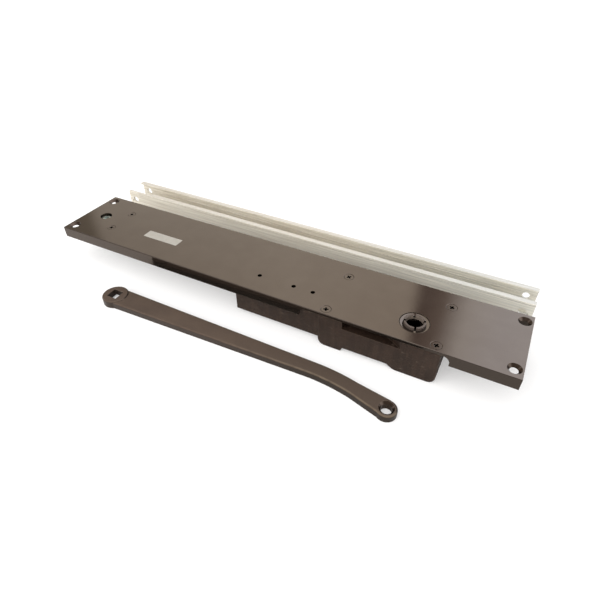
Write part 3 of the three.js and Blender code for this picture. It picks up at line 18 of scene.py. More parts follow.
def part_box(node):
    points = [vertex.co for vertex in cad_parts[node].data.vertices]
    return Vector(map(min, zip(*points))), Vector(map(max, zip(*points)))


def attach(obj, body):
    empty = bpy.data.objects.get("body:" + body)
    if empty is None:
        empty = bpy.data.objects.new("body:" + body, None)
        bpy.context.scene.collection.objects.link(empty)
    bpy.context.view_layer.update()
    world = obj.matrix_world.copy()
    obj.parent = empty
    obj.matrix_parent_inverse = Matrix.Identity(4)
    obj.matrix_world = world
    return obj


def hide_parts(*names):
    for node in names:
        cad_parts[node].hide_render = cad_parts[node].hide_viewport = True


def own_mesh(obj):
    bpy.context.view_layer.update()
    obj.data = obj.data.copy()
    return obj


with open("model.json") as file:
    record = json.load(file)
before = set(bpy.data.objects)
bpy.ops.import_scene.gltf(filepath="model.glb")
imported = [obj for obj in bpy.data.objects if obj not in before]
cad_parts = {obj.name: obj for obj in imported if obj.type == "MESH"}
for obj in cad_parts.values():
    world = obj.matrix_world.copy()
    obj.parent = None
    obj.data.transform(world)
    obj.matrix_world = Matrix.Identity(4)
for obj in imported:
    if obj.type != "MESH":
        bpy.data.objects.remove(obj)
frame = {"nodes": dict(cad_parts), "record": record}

LOG = logging.getLogger("door_closer")
MM = 0.001
NEAR = 1e-5  # places closer than this count as level
PAST = MM  # how far a cutting tool reaches beyond what it cuts
SLACK = 0.1 * MM  # how far off a wall the faces that belong to it may lie
FLAT = math.radians(0.6)  # faces that meet at less are one flat face
SHARP = math.radians(40)  # edges that turn by more are shaded sharp
STEEP = 50.0  # degrees, the least turn of an edge that is rounded on a threaded piece
LOOKS = 0.9  # a face looks along an axis when its normal's part along it is more
UPRIGHT = 0.5  # a face is upright when its normal's part along Z is less
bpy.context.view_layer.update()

Triple = tuple[float, float, float]
Colour = Triple
Point = Sequence[float]
Profile = list[tuple[float, float]]
Test = Callable[[Vector, Vector], bool]
Socket = bpy.types.NodeSocket
Tree = bpy.types.NodeTree
Material = bpy.types.Material
Value = Socket | float | Sequence[float]


def srgb(red: int, green: int, blue: int) -> Colour:
    """A colour in linear light from its three screen values, 0 to 255.

    Args:
        red: Red on the screen.
        green: Green on the screen.
        blue: Blue on the screen.

    Returns:
        The same colour in linear light.
    """

    def linear(value: int) -> float:
        """One channel in linear light."""
        v = value / 255
        return v / 12.92 if v <= 0.04045 else ((v + 0.055) / 1.055) ** 2.4

    return linear(red), linear(green), linear(blue)


def darker(colour: Colour, share: float) -> Colour:
    """A colour with only a share of its light."""
    return tuple(share * channel for channel in colour)


DUST = srgb(176, 168, 158)
# Lighter edge colours, each for wear and for painted highlights along the edges.
GLOSS_EDGE_WEAR_AND_HIGHLIGHT = srgb(150, 138, 124)
FORGING_EDGE_WEAR_AND_HIGHLIGHT = srgb(150, 138, 122)
CASTING_EDGE_WEAR_AND_HIGHLIGHT = srgb(128, 116, 104)
RUBBER_BLOOM = srgb(62, 60, 58)
FOIL_STREAK = (0.35, 0.34, 0.33)


# ---------------------------------------------------------------- node trees


class Recipe:
    """A material's or node group's tree, with short ways to add nodes and join them."""

    def __init__(self, tree: Tree) -> None:
        """Takes the tree that the nodes go into."""
        self.tree = tree

    def node(self, kind: str, **settings: object) -> bpy.types.Node:
        """Adds a node.

        Args:
            kind: The node's type, without its ShaderNode prefix.
            settings: Properties of the node to set.

        Returns:
            The new node.
        """
        made = self.tree.nodes.new("ShaderNode" + kind)
        for name, value in settings.items():
            setattr(made, name, value)
        return made

    def join(self, source: Socket, target: Socket) -> None:
        """Links one socket to another."""
        self.tree.links.new(source, target)

    def feed(self, target: Socket, value: Value) -> None:
        """Links a socket, or sets its plain value.

        Args:
            target: The input to feed.
            value: A socket to link, or a number, vector or colour to set.
        """
        if isinstance(value, Socket):
            self.join(value, target)
        elif target.type == "RGBA" and len(value) == 3:
            target.default_value = (*value, 1.0)
        else:
            target.default_value = value

    def fed(self, kind: str, *values: Value, **settings: object) -> Socket:
        """Adds a node and feeds its inputs in order.

        Args:
            kind: The node's type, without its ShaderNode prefix.
            values: What its inputs get, from the first.
            settings: Properties of the node to set.

        Returns:
            Its first output.
        """
        made = self.node(kind, **settings)
        for socket, value in zip(made.inputs, values):
            self.feed(socket, value)
        return made.outputs[0]

    def calculate(self, how: str, first: Value, second: Value = 0.0, third: Value = 0.0) -> Socket:
        """The result of a Math node, its operation named by how."""
        return self.fed("Math", first, second, third, operation=how)

    def times(self, first: Value, second: Value, clamp: bool = False) -> Socket:
        """Two values multiplied, and kept between 0 and 1 where clamp says so."""
        return self.fed("Math", first, second, 0.0, operation="MULTIPLY", use_clamp=clamp)

    def spread(
        self, value: Value, low: float, high: float, to_low: float = 0.0, to_high: float = 1.0
    ) -> Socket:
        """Maps a range to another, clamped, so that low gives to_low and high gives to_high."""
        return self.fed("MapRange", value, low, high, to_low, to_high, clamp=True)

    def blend(self, share: Value, first: Value, second: Value, how: str = "MIX") -> Socket:
        """Mixes two colours.

        Args:
            share: How much of the second, 0 to 1.
            first: First colour or socket.
            second: Second colour or socket.
            how: The blend type.

        Returns:
            The mixed colour's socket.
        """
        made = self.node("Mix", data_type="RGBA", blend_type=how)
        for index, value in ((0, share), (6, first), (7, second)):
            self.feed(made.inputs[index], value)
        return made.outputs[2]

    def noise(self, place: Socket, scale: Value, detail: float, rough: float) -> Socket:
        """A noise texture's value.

        Args:
            place: Where the texture is read.
            scale: Its scale, per metre.
            detail: Octaves.
            rough: Weight of the finer octaves.

        Returns:
            The noise value's socket.
        """
        made = self.node("TexNoise")
        for label, value in (("Vector", place), ("Scale", scale), ("Detail", detail), ("Roughness", rough)):
            self.feed(made.inputs[label], value)
        return made.outputs["Fac"]

    def stretch(self, place: Socket, factors: Triple) -> Socket:
        """Scales a place along each axis, so that a pattern read there runs in streaks.

        Args:
            place: Where a pattern would be read.
            factors: The scale along X, Y and Z.

        Returns:
            The stretched place.
        """
        made = self.node("Mapping")
        self.join(place, made.inputs["Vector"])
        made.inputs["Scale"].default_value = factors
        return made.outputs[0]

    def parts(self, vector: Socket) -> bpy.types.NodeOutputs:
        """A vector's X, Y and Z.

        Args:
            vector: A vector's socket.

        Returns:
            The sockets of its parts, by letter.
        """
        made = self.node("SeparateXYZ")
        self.join(vector, made.inputs[0])
        return made.outputs

    def normal(self) -> Socket:
        """The surface's true normal."""
        return self.node("NewGeometry").outputs["Normal"]


class Effect(Recipe):
    """A shared shader node group in the making, read at a Place and adjusted by named numbers."""

    def __init__(self, name: str, **numbers: float) -> None:
        """Starts the group.

        Args:
            name: The group's name.
            numbers: The default value of each number that it takes.
        """
        super().__init__(bpy.data.node_groups.new(name, "ShaderNodeTree"))
        self._socket("Place", "INPUT", "NodeSocketVector")
        for label, value in numbers.items():
            self._socket(label, "INPUT").default_value = value
        self.given = self.tree.nodes.new("NodeGroupInput").outputs

    def _socket(self, label: str, way: str, kind: str = "NodeSocketFloat") -> object:
        """Adds a named socket to the group, going in or out."""
        return self.tree.interface.new_socket(label, in_out=way, socket_type=kind)

    def cloud(self, scale: str, detail: float, rough: float) -> Socket:
        """Noise at the group's Place, scaled by one of its numbers."""
        return self.noise(self.given["Place"], self.given[scale], detail, rough)

    def give(self, **results: Socket) -> Tree:
        """Ends the group.

        Args:
            results: What each output puts out.

        Returns:
            The group.
        """
        for label in results:
            self._socket(label, "OUTPUT")
        leave = self.tree.nodes.new("NodeGroupOutput")
        for label, socket in results.items():
            self.join(socket, leave.inputs[label])
        return self.tree


class Effects:
    """The shared surface effects, each a node group built once."""

    def __init__(self) -> None:
        """Builds every group."""
        self.cast_skin = self._cast_skin()
        self.orange_peel = self._orange_peel()
        self.tool_marks = self._tool_marks()
        self.edge_wear_and_highlight = self._edge_wear_and_highlight()
        self.dust = self._dust()
        self.mottle = self._mottle()
        self.facing = self._facing()

    @staticmethod
    def _cast_skin() -> Tree:
        """Sand-cast metal: pits and swells of two sizes.

        Returns:
            The group.
        """
        e = Effect("cast skin", Grain=900.0, Swell=90.0)
        fine = e.cloud("Grain", detail=3.0, rough=0.6)
        pits = e.spread(fine, 0.5, 0.32)
        height = e.calculate("MULTIPLY_ADD", e.cloud("Swell", detail=2.0, rough=0.5), 1.6, fine)
        return e.give(Height=e.calculate("MULTIPLY_ADD", pits, -0.5, height), Pits=pits)

    @staticmethod
    def _orange_peel() -> Tree:
        """The faint ripple of sprayed paint."""
        e = Effect("orange peel", Ripple=350.0)
        return e.give(Height=e.cloud("Ripple", detail=1.0, rough=0.4))

    @staticmethod
    def _tool_marks() -> Tree:
        """Fine lines left by a tool or a die, along whatever axis the place is stretched.

        Returns:
            The group.
        """
        e = Effect("tool marks", Lines=800.0)
        lines = e.cloud("Lines", detail=4.0, rough=0.65)
        return e.give(Height=lines, Streaks=e.spread(lines, 0.35, 0.65))

    @staticmethod
    def _edge_wear_and_highlight() -> Tree:
        """Edges taken as worn in handling and as catching painted highlights: where the rounded normal leaves
        the true one, broken up by noise.

        Returns:
            The group.
        """
        e = Effect("edge wear", Width=0.0006, Broken=400.0, Amount=0.5)
        rounded_off = e.node("Bevel", samples=4)
        e.join(e.given["Width"], rounded_off.inputs["Radius"])
        likeness = e.node("VectorMath", operation="DOT_PRODUCT")
        e.join(rounded_off.outputs["Normal"], likeness.inputs[0])
        e.join(e.normal(), likeness.inputs[1])
        edge = e.spread(likeness.outputs["Value"], 0.995, 0.85)
        gaps = e.spread(e.cloud("Broken", detail=3.0, rough=0.6), 0.35, 0.6)
        return e.give(Worn=e.times(e.times(edge, gaps), e.given["Amount"], clamp=True))

    @staticmethod
    def _dust() -> Tree:
        """A thin film of dust on faces that look up.

        Returns:
            The group.
        """
        e = Effect("dust", Patches=60.0, Amount=0.2)
        up = e.spread(e.parts(e.normal())["Z"], 0.4, 1.0)
        patches = e.spread(e.cloud("Patches", detail=4.0, rough=0.6), 0.4, 0.75)
        return e.give(Dust=e.times(e.times(up, patches), e.given["Amount"], clamp=True))

    @staticmethod
    def _mottle() -> Tree:
        """A slow change of tone over the surface."""
        e = Effect("mottle", Size=40.0)
        return e.give(Tone=e.spread(e.cloud("Size", detail=3.0, rough=0.55), 0.3, 0.7))

    @staticmethod
    def _facing() -> Tree:
        """Which faces look up, slope or look to the front, with a slightly broken boundary.

        Returns:
            The group.
        """
        e = Effect("facing", Broken=200.0)
        normal = e.parts(e.normal())
        stir = e.cloud("Broken", detail=2.0, rough=0.5)
        rising = e.spread(normal["Z"], 0.25, 0.5)
        levelling = e.spread(normal["Z"], 0.985, 0.9)
        return e.give(
            Up=e.spread(e.calculate("MULTIPLY_ADD", stir, 0.2, normal["Z"]), 0.6, 0.95),
            Slope=e.times(e.times(rising, levelling), e.spread(stir, 0.3, 0.6, 0.6, 1.0)),
            Front=e.spread(normal["Y"], 0.05, -0.15),
        )


class Dressing(Recipe):
    """A material in the making: its shader, its Object coordinates and the shared effects."""

    def __init__(self, name: str, effects: Effects) -> None:
        """Starts the material.

        Args:
            name: The material's name.
            effects: The shared groups.
        """
        self.material = bpy.data.materials.new(name)
        self.material.use_nodes = True
        super().__init__(self.material.node_tree)
        self.effects = effects
        self.shader = self.tree.nodes["Principled BSDF"]
        self.place = self.node("TexCoord").outputs["Object"]

    def group(self, tree: Tree, place: Socket | None = None, **values: float) -> bpy.types.NodeOutputs:
        """Places a shared effect with its own values.

        Args:
            tree: The effect's group.
            place: Where it is read; the Object coordinates if not given.
            values: The group's other inputs.

        Returns:
            The effect's outputs.
        """
        made = self.tree.nodes.new("ShaderNodeGroup")
        made.node_tree = tree
        self.join(place or self.place, made.inputs["Place"])
        for name, value in values.items():
            made.inputs[name].default_value = value
        return made.outputs

    def tone(self, size: float) -> Socket:
        """The slow change of tone, size giving its scale."""
        return self.group(self.effects.mottle, Size=size)["Tone"]

    def worn(self, width: float, broken: float, amount: float) -> Socket:
        """Where the edges carry wear and painted highlights."""
        return self.group(self.effects.edge_wear_and_highlight, Width=width, Broken=broken, Amount=amount)["Worn"]

    def coat(self, base: Socket, roughness: Socket, **sockets: Value) -> None:
        """Feeds the shader its colour, roughness and other sockets, underscores standing for spaces."""
        for name, value in {"Base_Color": base, "Roughness": roughness, **sockets}.items():
            self.feed(self.shader.inputs[name.replace("_", " ")], value)

    def bump(self, height: Socket, distance: float) -> None:
        """Raises the surface by a height, distance being the metres for a height of 1.

        Args:
            height: The height's socket.
            distance: The metres for a height of 1.
        """
        made = self.node("Bump")
        made.inputs["Distance"].default_value = distance
        self.join(height, made.inputs["Height"])
        self.join(made.outputs["Normal"], self.shader.inputs["Normal"])


@dataclass(frozen=True)
class Finish:
    """What every finish has: its name and its main colour."""

    name: str
    colour: Colour

    def build(self, effects: Effects) -> Material:
        """Makes the material.

        Args:
            effects: The shared effects.

        Returns:
            The material.
        """
        dressing = Dressing(self.name, effects)
        self.lay(dressing)
        return dressing.material

    def lay(self, d: Dressing) -> None:
        """Puts the finish into a material in the making."""
        raise NotImplementedError


@dataclass(frozen=True)
class GlossPaint(Finish):
    """Dark bronze metallic paint, stoved to a gloss, with painted shade on its upright faces that deepens from
    X 0.08 to 0.2 m.
    """

    shade: Colour
    shaded_flank: Colour
    roughness: float = 0.13

    def lay(self, d: Dressing) -> None:
        """Paint with a slow change of tone, painted shade on upright faces, faint ripple, dust, and lighter
        edges for wear and painted highlights.

        Args:
            d: The material in the making.
        """
        dust = d.group(d.effects.dust, Patches=45.0, Amount=0.025)["Dust"]
        # Painted shade and reflection: upright faces take a darker colour, darker still from X 0.08 to 0.2 m.
        upright = d.blend(d.spread(d.parts(d.place)["X"], 0.08, 0.2), self.shaded_flank, darker(self.shaded_flank, 0.66))
        base = d.blend(d.tone(size=22.0), self.shade, self.colour)
        base = d.blend(d.group(d.effects.facing, Broken=90.0)["Up"], upright, base)
        base = d.blend(dust, base, DUST)
        # Lighter edges: wear, and painted highlights along them.
        base = d.blend(d.worn(width=0.5 * MM, broken=300.0, amount=0.35), base, GLOSS_EDGE_WEAR_AND_HIGHLIGHT)
        smear = d.noise(d.place, scale=30.0, detail=5.0, rough=0.6)
        smooth = d.spread(smear, 0.35, 0.8, self.roughness, self.roughness + 0.05)
        d.coat(base, smooth, Metallic=0.92, IOR=1.45, Coat_Weight=0.12, Coat_Roughness=0.06)
        d.bump(d.group(d.effects.orange_peel, Ripple=260.0)["Height"], 0.006 * MM)


@dataclass(frozen=True)
class ForgedPaint(Finish):
    """Bronze paint over a forging, half gloss, with painted shade on its sides and a painted highlight along
    its front edge. Along X its top and sides darken and the highlight brightens.
    """

    shade: Colour
    shaded_flank: Colour
    near_flank: Colour
    painted_edge_highlight: Colour
    roughness: float = 0.34

    def lay(self, d: Dressing) -> None:
        """Paint that follows a forged skin, with painted shade on its sides and painted highlights along its
        front edges.

        Args:
            d: The material in the making.
        """
        skin = d.group(d.effects.cast_skin, Grain=700.0, Swell=70.0)
        facing = d.group(d.effects.facing, Broken=120.0)
        along = d.spread(d.parts(d.place)["X"], -0.02, 0.11)
        base = d.blend(d.tone(size=35.0), self.shade, self.colour)
        # Darker towards the eye end.
        base = d.blend(along, base, darker(self.colour, 0.72))
        # Painted shade: upright faces take a dark colour, darker towards the eye end.
        base = d.blend(facing["Up"], d.blend(along, self.near_flank, self.shaded_flank), base)
        # Painted highlight on sloped faces at the front, brighter towards the eye end, and painted shade on
        # sloped faces at the rear.
        edge = d.blend(facing["Front"], self.shaded_flank, d.blend(along, self.colour, self.painted_edge_highlight))
        base = d.blend(d.times(facing["Slope"], 0.85), base, edge)
        # Wear on edges, kept to front faces so that it also serves as a painted highlight.
        worn = d.times(d.worn(width=1.2 * MM, broken=160.0, amount=0.6), facing["Front"])
        base = d.blend(worn, base, FORGING_EDGE_WEAR_AND_HIGHLIGHT)
        dull = d.spread(skin["Pits"], 0.0, 1.0, self.roughness, self.roughness + 0.14)
        d.coat(base, dull, IOR=1.36, Specular_Tint=(1.0, 0.86, 0.74), Coat_Weight=0.03, Coat_Roughness=0.22)
        d.bump(skin["Height"], 0.05 * MM)


@dataclass(frozen=True)
class CastPaint(Finish):
    """Dark paint over sand-cast iron, with thin runs, a few scuffs, and lighter edges for wear and painted
    highlights.
    """

    shade: Colour
    bloom: Colour
    roughness: float = 0.42

    def lay(self, d: Dressing) -> None:
        """Paint that follows the casting's grain.

        Args:
            d: The material in the making.
        """
        skin = d.group(d.effects.cast_skin, Grain=800.0, Swell=120.0)
        upright = d.noise(d.stretch(d.place, (1.0, 1.0, 0.12)), scale=240.0, detail=4.0, rough=0.6)
        level = d.noise(d.stretch(d.place, (0.25, 0.25, 1.0)), scale=420.0, detail=5.0, rough=0.75)
        scuffs = d.spread(level, 0.61, 0.7, 0.0, 0.32)
        base = d.blend(d.tone(size=60.0), self.shade, self.colour)
        base = d.blend(d.spread(upright, 0.44, 0.66, 0.0, 0.5), base, self.bloom)
        base = d.blend(skin["Pits"], base, darker(self.shade, 0.6))
        # Lighter scuffs and edges: wear, and on the edges painted highlights too.
        worn = d.calculate("MAXIMUM", d.worn(width=0.8 * MM, broken=350.0, amount=0.35), scuffs)
        base = d.blend(worn, base, CASTING_EDGE_WEAR_AND_HIGHLIGHT)
        dull = d.spread(skin["Pits"], 0.0, 1.0, self.roughness, self.roughness + 0.2)
        d.coat(base, dull, IOR=1.4, Specular_Tint=(1.0, 0.8, 0.68))
        d.bump(skin["Height"], 0.12 * MM)


@dataclass(frozen=True)
class Metal(Finish):
    """Bare or plated metal with tool marks along one axis."""

    roughness: float = 0.3
    streak: Triple = (1.0, 1.0, 1.0)
    lines: float = 900.0
    depth: float = 0.01 * MM
    stain: Colour = (0.1, 0.08, 0.06)
    stained: float = 0.15
    metallic: float = 1.0

    def lay(self, d: Dressing) -> None:
        """Metal whose roughness and colour follow its tool marks.

        Args:
            d: The material in the making.
        """
        marks = d.group(d.effects.tool_marks, d.stretch(d.place, self.streak), Lines=self.lines)
        base = d.blend(marks["Streaks"], darker(self.colour, 0.82), self.colour)
        base = d.blend(d.times(d.tone(size=80.0), self.stained), base, self.stain)
        dull = d.spread(marks["Streaks"], 0.0, 1.0, self.roughness + 0.1, self.roughness)
        d.coat(base, dull, Metallic=self.metallic)
        d.bump(marks["Height"], self.depth)


@dataclass(frozen=True)
class Extrusion(Finish):
    """Satin anodised aluminium drawn through a die along X, its upright walls painted paler and warmer than its
    lips as painted light.
    """

    lips: Colour
    stain: Colour
    cool: Colour
    roughness: float = 0.46

    def lay(self, d: Dressing) -> None:
        """Anodised metal with long die lines.

        Args:
            d: The material in the making.
        """
        marks = d.group(d.effects.tool_marks, d.stretch(d.place, (0.012, 1.0, 1.0)), Lines=900.0)
        fine = d.group(d.effects.tool_marks, d.stretch(d.place, (0.03, 1.0, 1.0)), Lines=3200.0)
        stain = d.blend(d.spread(d.parts(d.place)["X"], 0.0, 0.2), self.stain, self.cool)
        # Painted light: the up-facing lips take a darker colour and the upright walls a paler, warmer one, for
        # how the light falls on each.
        base = d.blend(d.group(d.effects.facing, Broken=60.0)["Up"], self.colour, self.lips)
        base = d.blend(d.times(marks["Streaks"], 0.75), base, stain)
        base = d.blend(d.times(d.tone(size=14.0), 0.12), base, self.stain)
        dull = d.spread(fine["Streaks"], 0.0, 1.0, self.roughness + 0.1, self.roughness)
        d.coat(base, dull, Metallic=0.3)
        d.bump(fine["Height"], 0.006 * MM)


@dataclass(frozen=True)
class SealRubber(Finish):
    """Moulded nitrile rubber."""

    roughness: float = 0.55

    def lay(self, d: Dressing) -> None:
        """Rubber with a faint bloom.

        Args:
            d: The material in the making.
        """
        bloom = d.spread(d.noise(d.place, scale=900.0, detail=3.0, rough=0.6), 0.45, 0.8, 0.0, 0.5)
        dull = d.spread(bloom, 0.0, 0.5, self.roughness, self.roughness + 0.2)
        d.coat(d.blend(bloom, self.colour, RUBBER_BLOOM), dull)
        d.bump(d.noise(d.place, scale=1500.0, detail=2.0, rough=0.5), 0.01 * MM)


@dataclass(frozen=True)
class LabelFoil(Finish):
    """Pale metallic label stock, bare of print."""

    def lay(self, d: Dressing) -> None:
        """Foil with a fine grain and a slow change of tone.

        Args:
            d: The material in the making.
        """
        grain = d.group(d.effects.tool_marks, d.stretch(d.place, (1.0, 12.0, 1.0)), Lines=1400.0)
        base = d.blend(d.tone(size=180.0), darker(self.colour, 0.86), self.colour)
        base = d.blend(d.times(grain["Streaks"], 0.12), base, FOIL_STREAK)
        d.coat(base, d.spread(grain["Streaks"], 0.0, 1.0, 0.38, 0.52), Metallic=0.35)
        d.bump(grain["Height"], 0.006 * MM)


class Slot(Enum):
    """The record's material slots."""

    BRONZE_PAINT = "bronze_paint"
    CAST_IRON = "cast_iron"
    ARM_PAINT = "arm_paint"
    GROUND_STEEL = "ground_steel"
    DARK_STEEL = "dark_steel"
    SPRING_STEEL = "spring_steel"
    ZINC = "zinc"
    BRASS = "brass"
    RUBBER = "rubber"
    ALUMINIUM = "aluminium"


Look = Slot | Finish

ALONG_Z = (1.0, 1.0, 14.0)

FINISHES: dict[Slot, Finish] = {
    Slot.BRONZE_PAINT: GlossPaint(
        "bronze stoving paint", srgb(100, 90, 83), shade=srgb(98, 88, 81), shaded_flank=srgb(90, 80, 72),
        roughness=0.06,
    ),
    Slot.CAST_IRON: CastPaint(
        "painted cast iron", srgb(42, 31, 25), shade=srgb(33, 24, 19), bloom=srgb(58, 44, 35)
    ),
    Slot.ARM_PAINT: ForgedPaint(
        "painted forging", srgb(79, 66, 57), shade=srgb(70, 58, 51), shaded_flank=srgb(30, 23, 17),
        near_flank=srgb(49, 41, 36), painted_edge_highlight=srgb(94, 82, 69),
    ),
    Slot.GROUND_STEEL: Metal("ground steel", srgb(168, 158, 152), roughness=0.24, streak=ALONG_Z),
    Slot.DARK_STEEL: Metal("blackened steel", srgb(72, 64, 58), roughness=0.32, stain=srgb(40, 34, 30)),
    Slot.SPRING_STEEL: Metal("oiled spring wire", srgb(98, 94, 92), roughness=0.26, lines=500.0),
    Slot.ZINC: Metal(
        "bright zinc plate", srgb(196, 204, 200), roughness=0.26, stain=srgb(140, 150, 120), stained=0.2
    ),
    Slot.BRASS: Metal(
        "turned brass", srgb(196, 160, 92), roughness=0.24, streak=(1.0, 1.0, 10.0), stain=srgb(92, 68, 36)
    ),
    Slot.RUBBER: SealRubber("black nitrile rubber", srgb(24, 23, 23)),
    Slot.ALUMINIUM: Extrusion(
        "satin anodised aluminium", srgb(238, 233, 219), lips=srgb(208, 205, 199), stain=srgb(192, 182, 165),
        cool=srgb(172, 174, 168),
    ),
}

# Painted shade for bores: a darker finish for hole walls, countersinks and the arm's eye.
PAINTED_BORE_SHADE = Metal(
    "bare edge of the sheet", srgb(92, 79, 70), roughness=0.2, stain=srgb(46, 36, 30), stained=0.5
)
# Painted shade for recesses: a near-black finish for sockets, cross recesses, notches and inner walls.
PAINTED_RECESS_SHADE = Metal("dark recess", srgb(26, 22, 20), roughness=0.5, stain=srgb(16, 13, 12), stained=0.5)
DRIVE_STEEL = Metal(
    "worn drive steel", srgb(97, 86, 79), roughness=0.42, streak=ALONG_Z, stain=srgb(70, 58, 50),
    metallic=0.45,
)
MOUTH_STEEL = Metal("turned steel", srgb(126, 114, 104), roughness=0.5, stain=srgb(96, 84, 74), metallic=0.2)
LABEL_FOIL = LabelFoil("bare label foil", srgb(178, 174, 166))


class Paintbox:
    """Builds each finish once and dresses objects with it."""

    def __init__(self) -> None:
        """Builds the shared effects."""
        self.effects = Effects()
        self._made: dict[Look, Material] = {}

    def material(self, key: Look) -> Material:
        """The material of a slot, or of a finish that has no slot of its own.

        Args:
            key: The slot or finish.

        Returns:
            The material, made the first time that it is asked for.
        """
        if key not in self._made:
            finish = FINISHES[key] if isinstance(key, Slot) else key
            self._made[key] = finish.build(self.effects)
        return self._made[key]

    def dress(self, piece: bpy.types.Object, key: Look) -> None:
        """Gives a piece one material all over."""
        piece.data.materials.clear()
        piece.data.materials.append(self.material(key))


def dress_cad(paints: Paintbox) -> None:
    """Gives every CAD node the finish of its slot.

    Args:
        paints: The materials.
    """
    slots = {part["node"]: Slot(part["material_slot"]) for part in frame["record"]["subparts"]}
    for name, node in frame["nodes"].items():
        paints.dress(node, slots[name])


# ----------------------------------------------------------------- modelling


class Axis(Enum):
    """A direction along which a rod or a turned piece stands, as the turn that lays Z along it."""

    X = (0.0, math.pi / 2, 0.0)
    Y = (-math.pi / 2, 0.0, 0.0)
    Z = (0.0, 0.0, 0.0)


class Sides(IntEnum):
    """Facets round a turned piece."""

    HEXAGON = 6
    PILOT = 24
    SHANK = 40
    HOLE = 48
    SINK = 64
    BORE = 72
    RING = 96
    BOSS = 112


class Part(Enum):
    """What a selection in code picks."""

    FACES = "FACE"
    EDGES = "EDGE"


def entry(entries: Sequence[dict], name: str) -> dict:
    """The one with a name among a record's entries."""
    return next(item for item in entries if item["name"] == name)


def opening_at(name: str) -> Vector:
    """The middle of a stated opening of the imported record."""
    low, high = entry(frame["record"]["physics"]["openings"], name)["box_m"]
    return (Vector(low) + Vector(high)) / 2


def travel(joint: str) -> float:
    """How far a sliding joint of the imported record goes."""
    return max(abs(limit) for limit in entry(frame["record"]["behaviour"]["joints"], joint)["range_m"])


def middle(node: str) -> Vector:
    """The middle of a CAD node's box."""
    low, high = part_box(node)
    return (low + high) / 2


def half_width(node: str) -> float:
    """Half of a CAD node's extent along Y, the radius of a round one."""
    low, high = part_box(node)
    return (high.y - low.y) / 2


def to_corner(across: float) -> float:
    """How far a hexagon's corners are from its middle, from its width across the flats."""
    return across / 2 / math.cos(math.pi / 6)


THREAD_FORM = ((0.0, 1), (0.4, 0), (0.5, 0), (0.9, 1))  # share of the pitch, and 1 at the root
THREAD_LEAD = 0.3 * MM
THREAD_RUNOUT = 0.5 * MM


def thread(radius: float, depth: float, pitch: float, start: float, end: float) -> Profile:
    """The profile of a thread, as rings.

    Args:
        radius: The crest's radius.
        depth: How far the root lies in.
        pitch: From crest to crest.
        start: The height of the first root.
        end: The height that no crest passes.

    Returns:
        Radius and height of each station, from the lowest up.
    """
    profile = [(radius - depth, start)]
    height = start + THREAD_LEAD
    while height + pitch < end:
        profile += [(radius - depth * root, height + share * pitch) for share, root in THREAD_FORM]
        height += pitch
    profile.append((radius, height + THREAD_RUNOUT))
    return profile


def rounded(radius: float, height: float, foot: float, top: float, steps: int = 5) -> Profile:
    """The profile of a disc with rounded edges, as rings.

    Args:
        radius: The disc's radius.
        height: The disc's height.
        foot: How far its lower edge is broken.
        top: The radius of its upper edge's round.
        steps: Steps round the upper edge.

    Returns:
        Radius and height of each station, from the lowest up.
    """
    profile = [(radius - foot, 0.0), (radius, foot)]
    for step in range(steps + 1):
        angle = math.pi / 2 * step / steps
        profile.append((radius - top * (1 - math.cos(angle)), height - top * (1 - math.sin(angle))))
    return profile


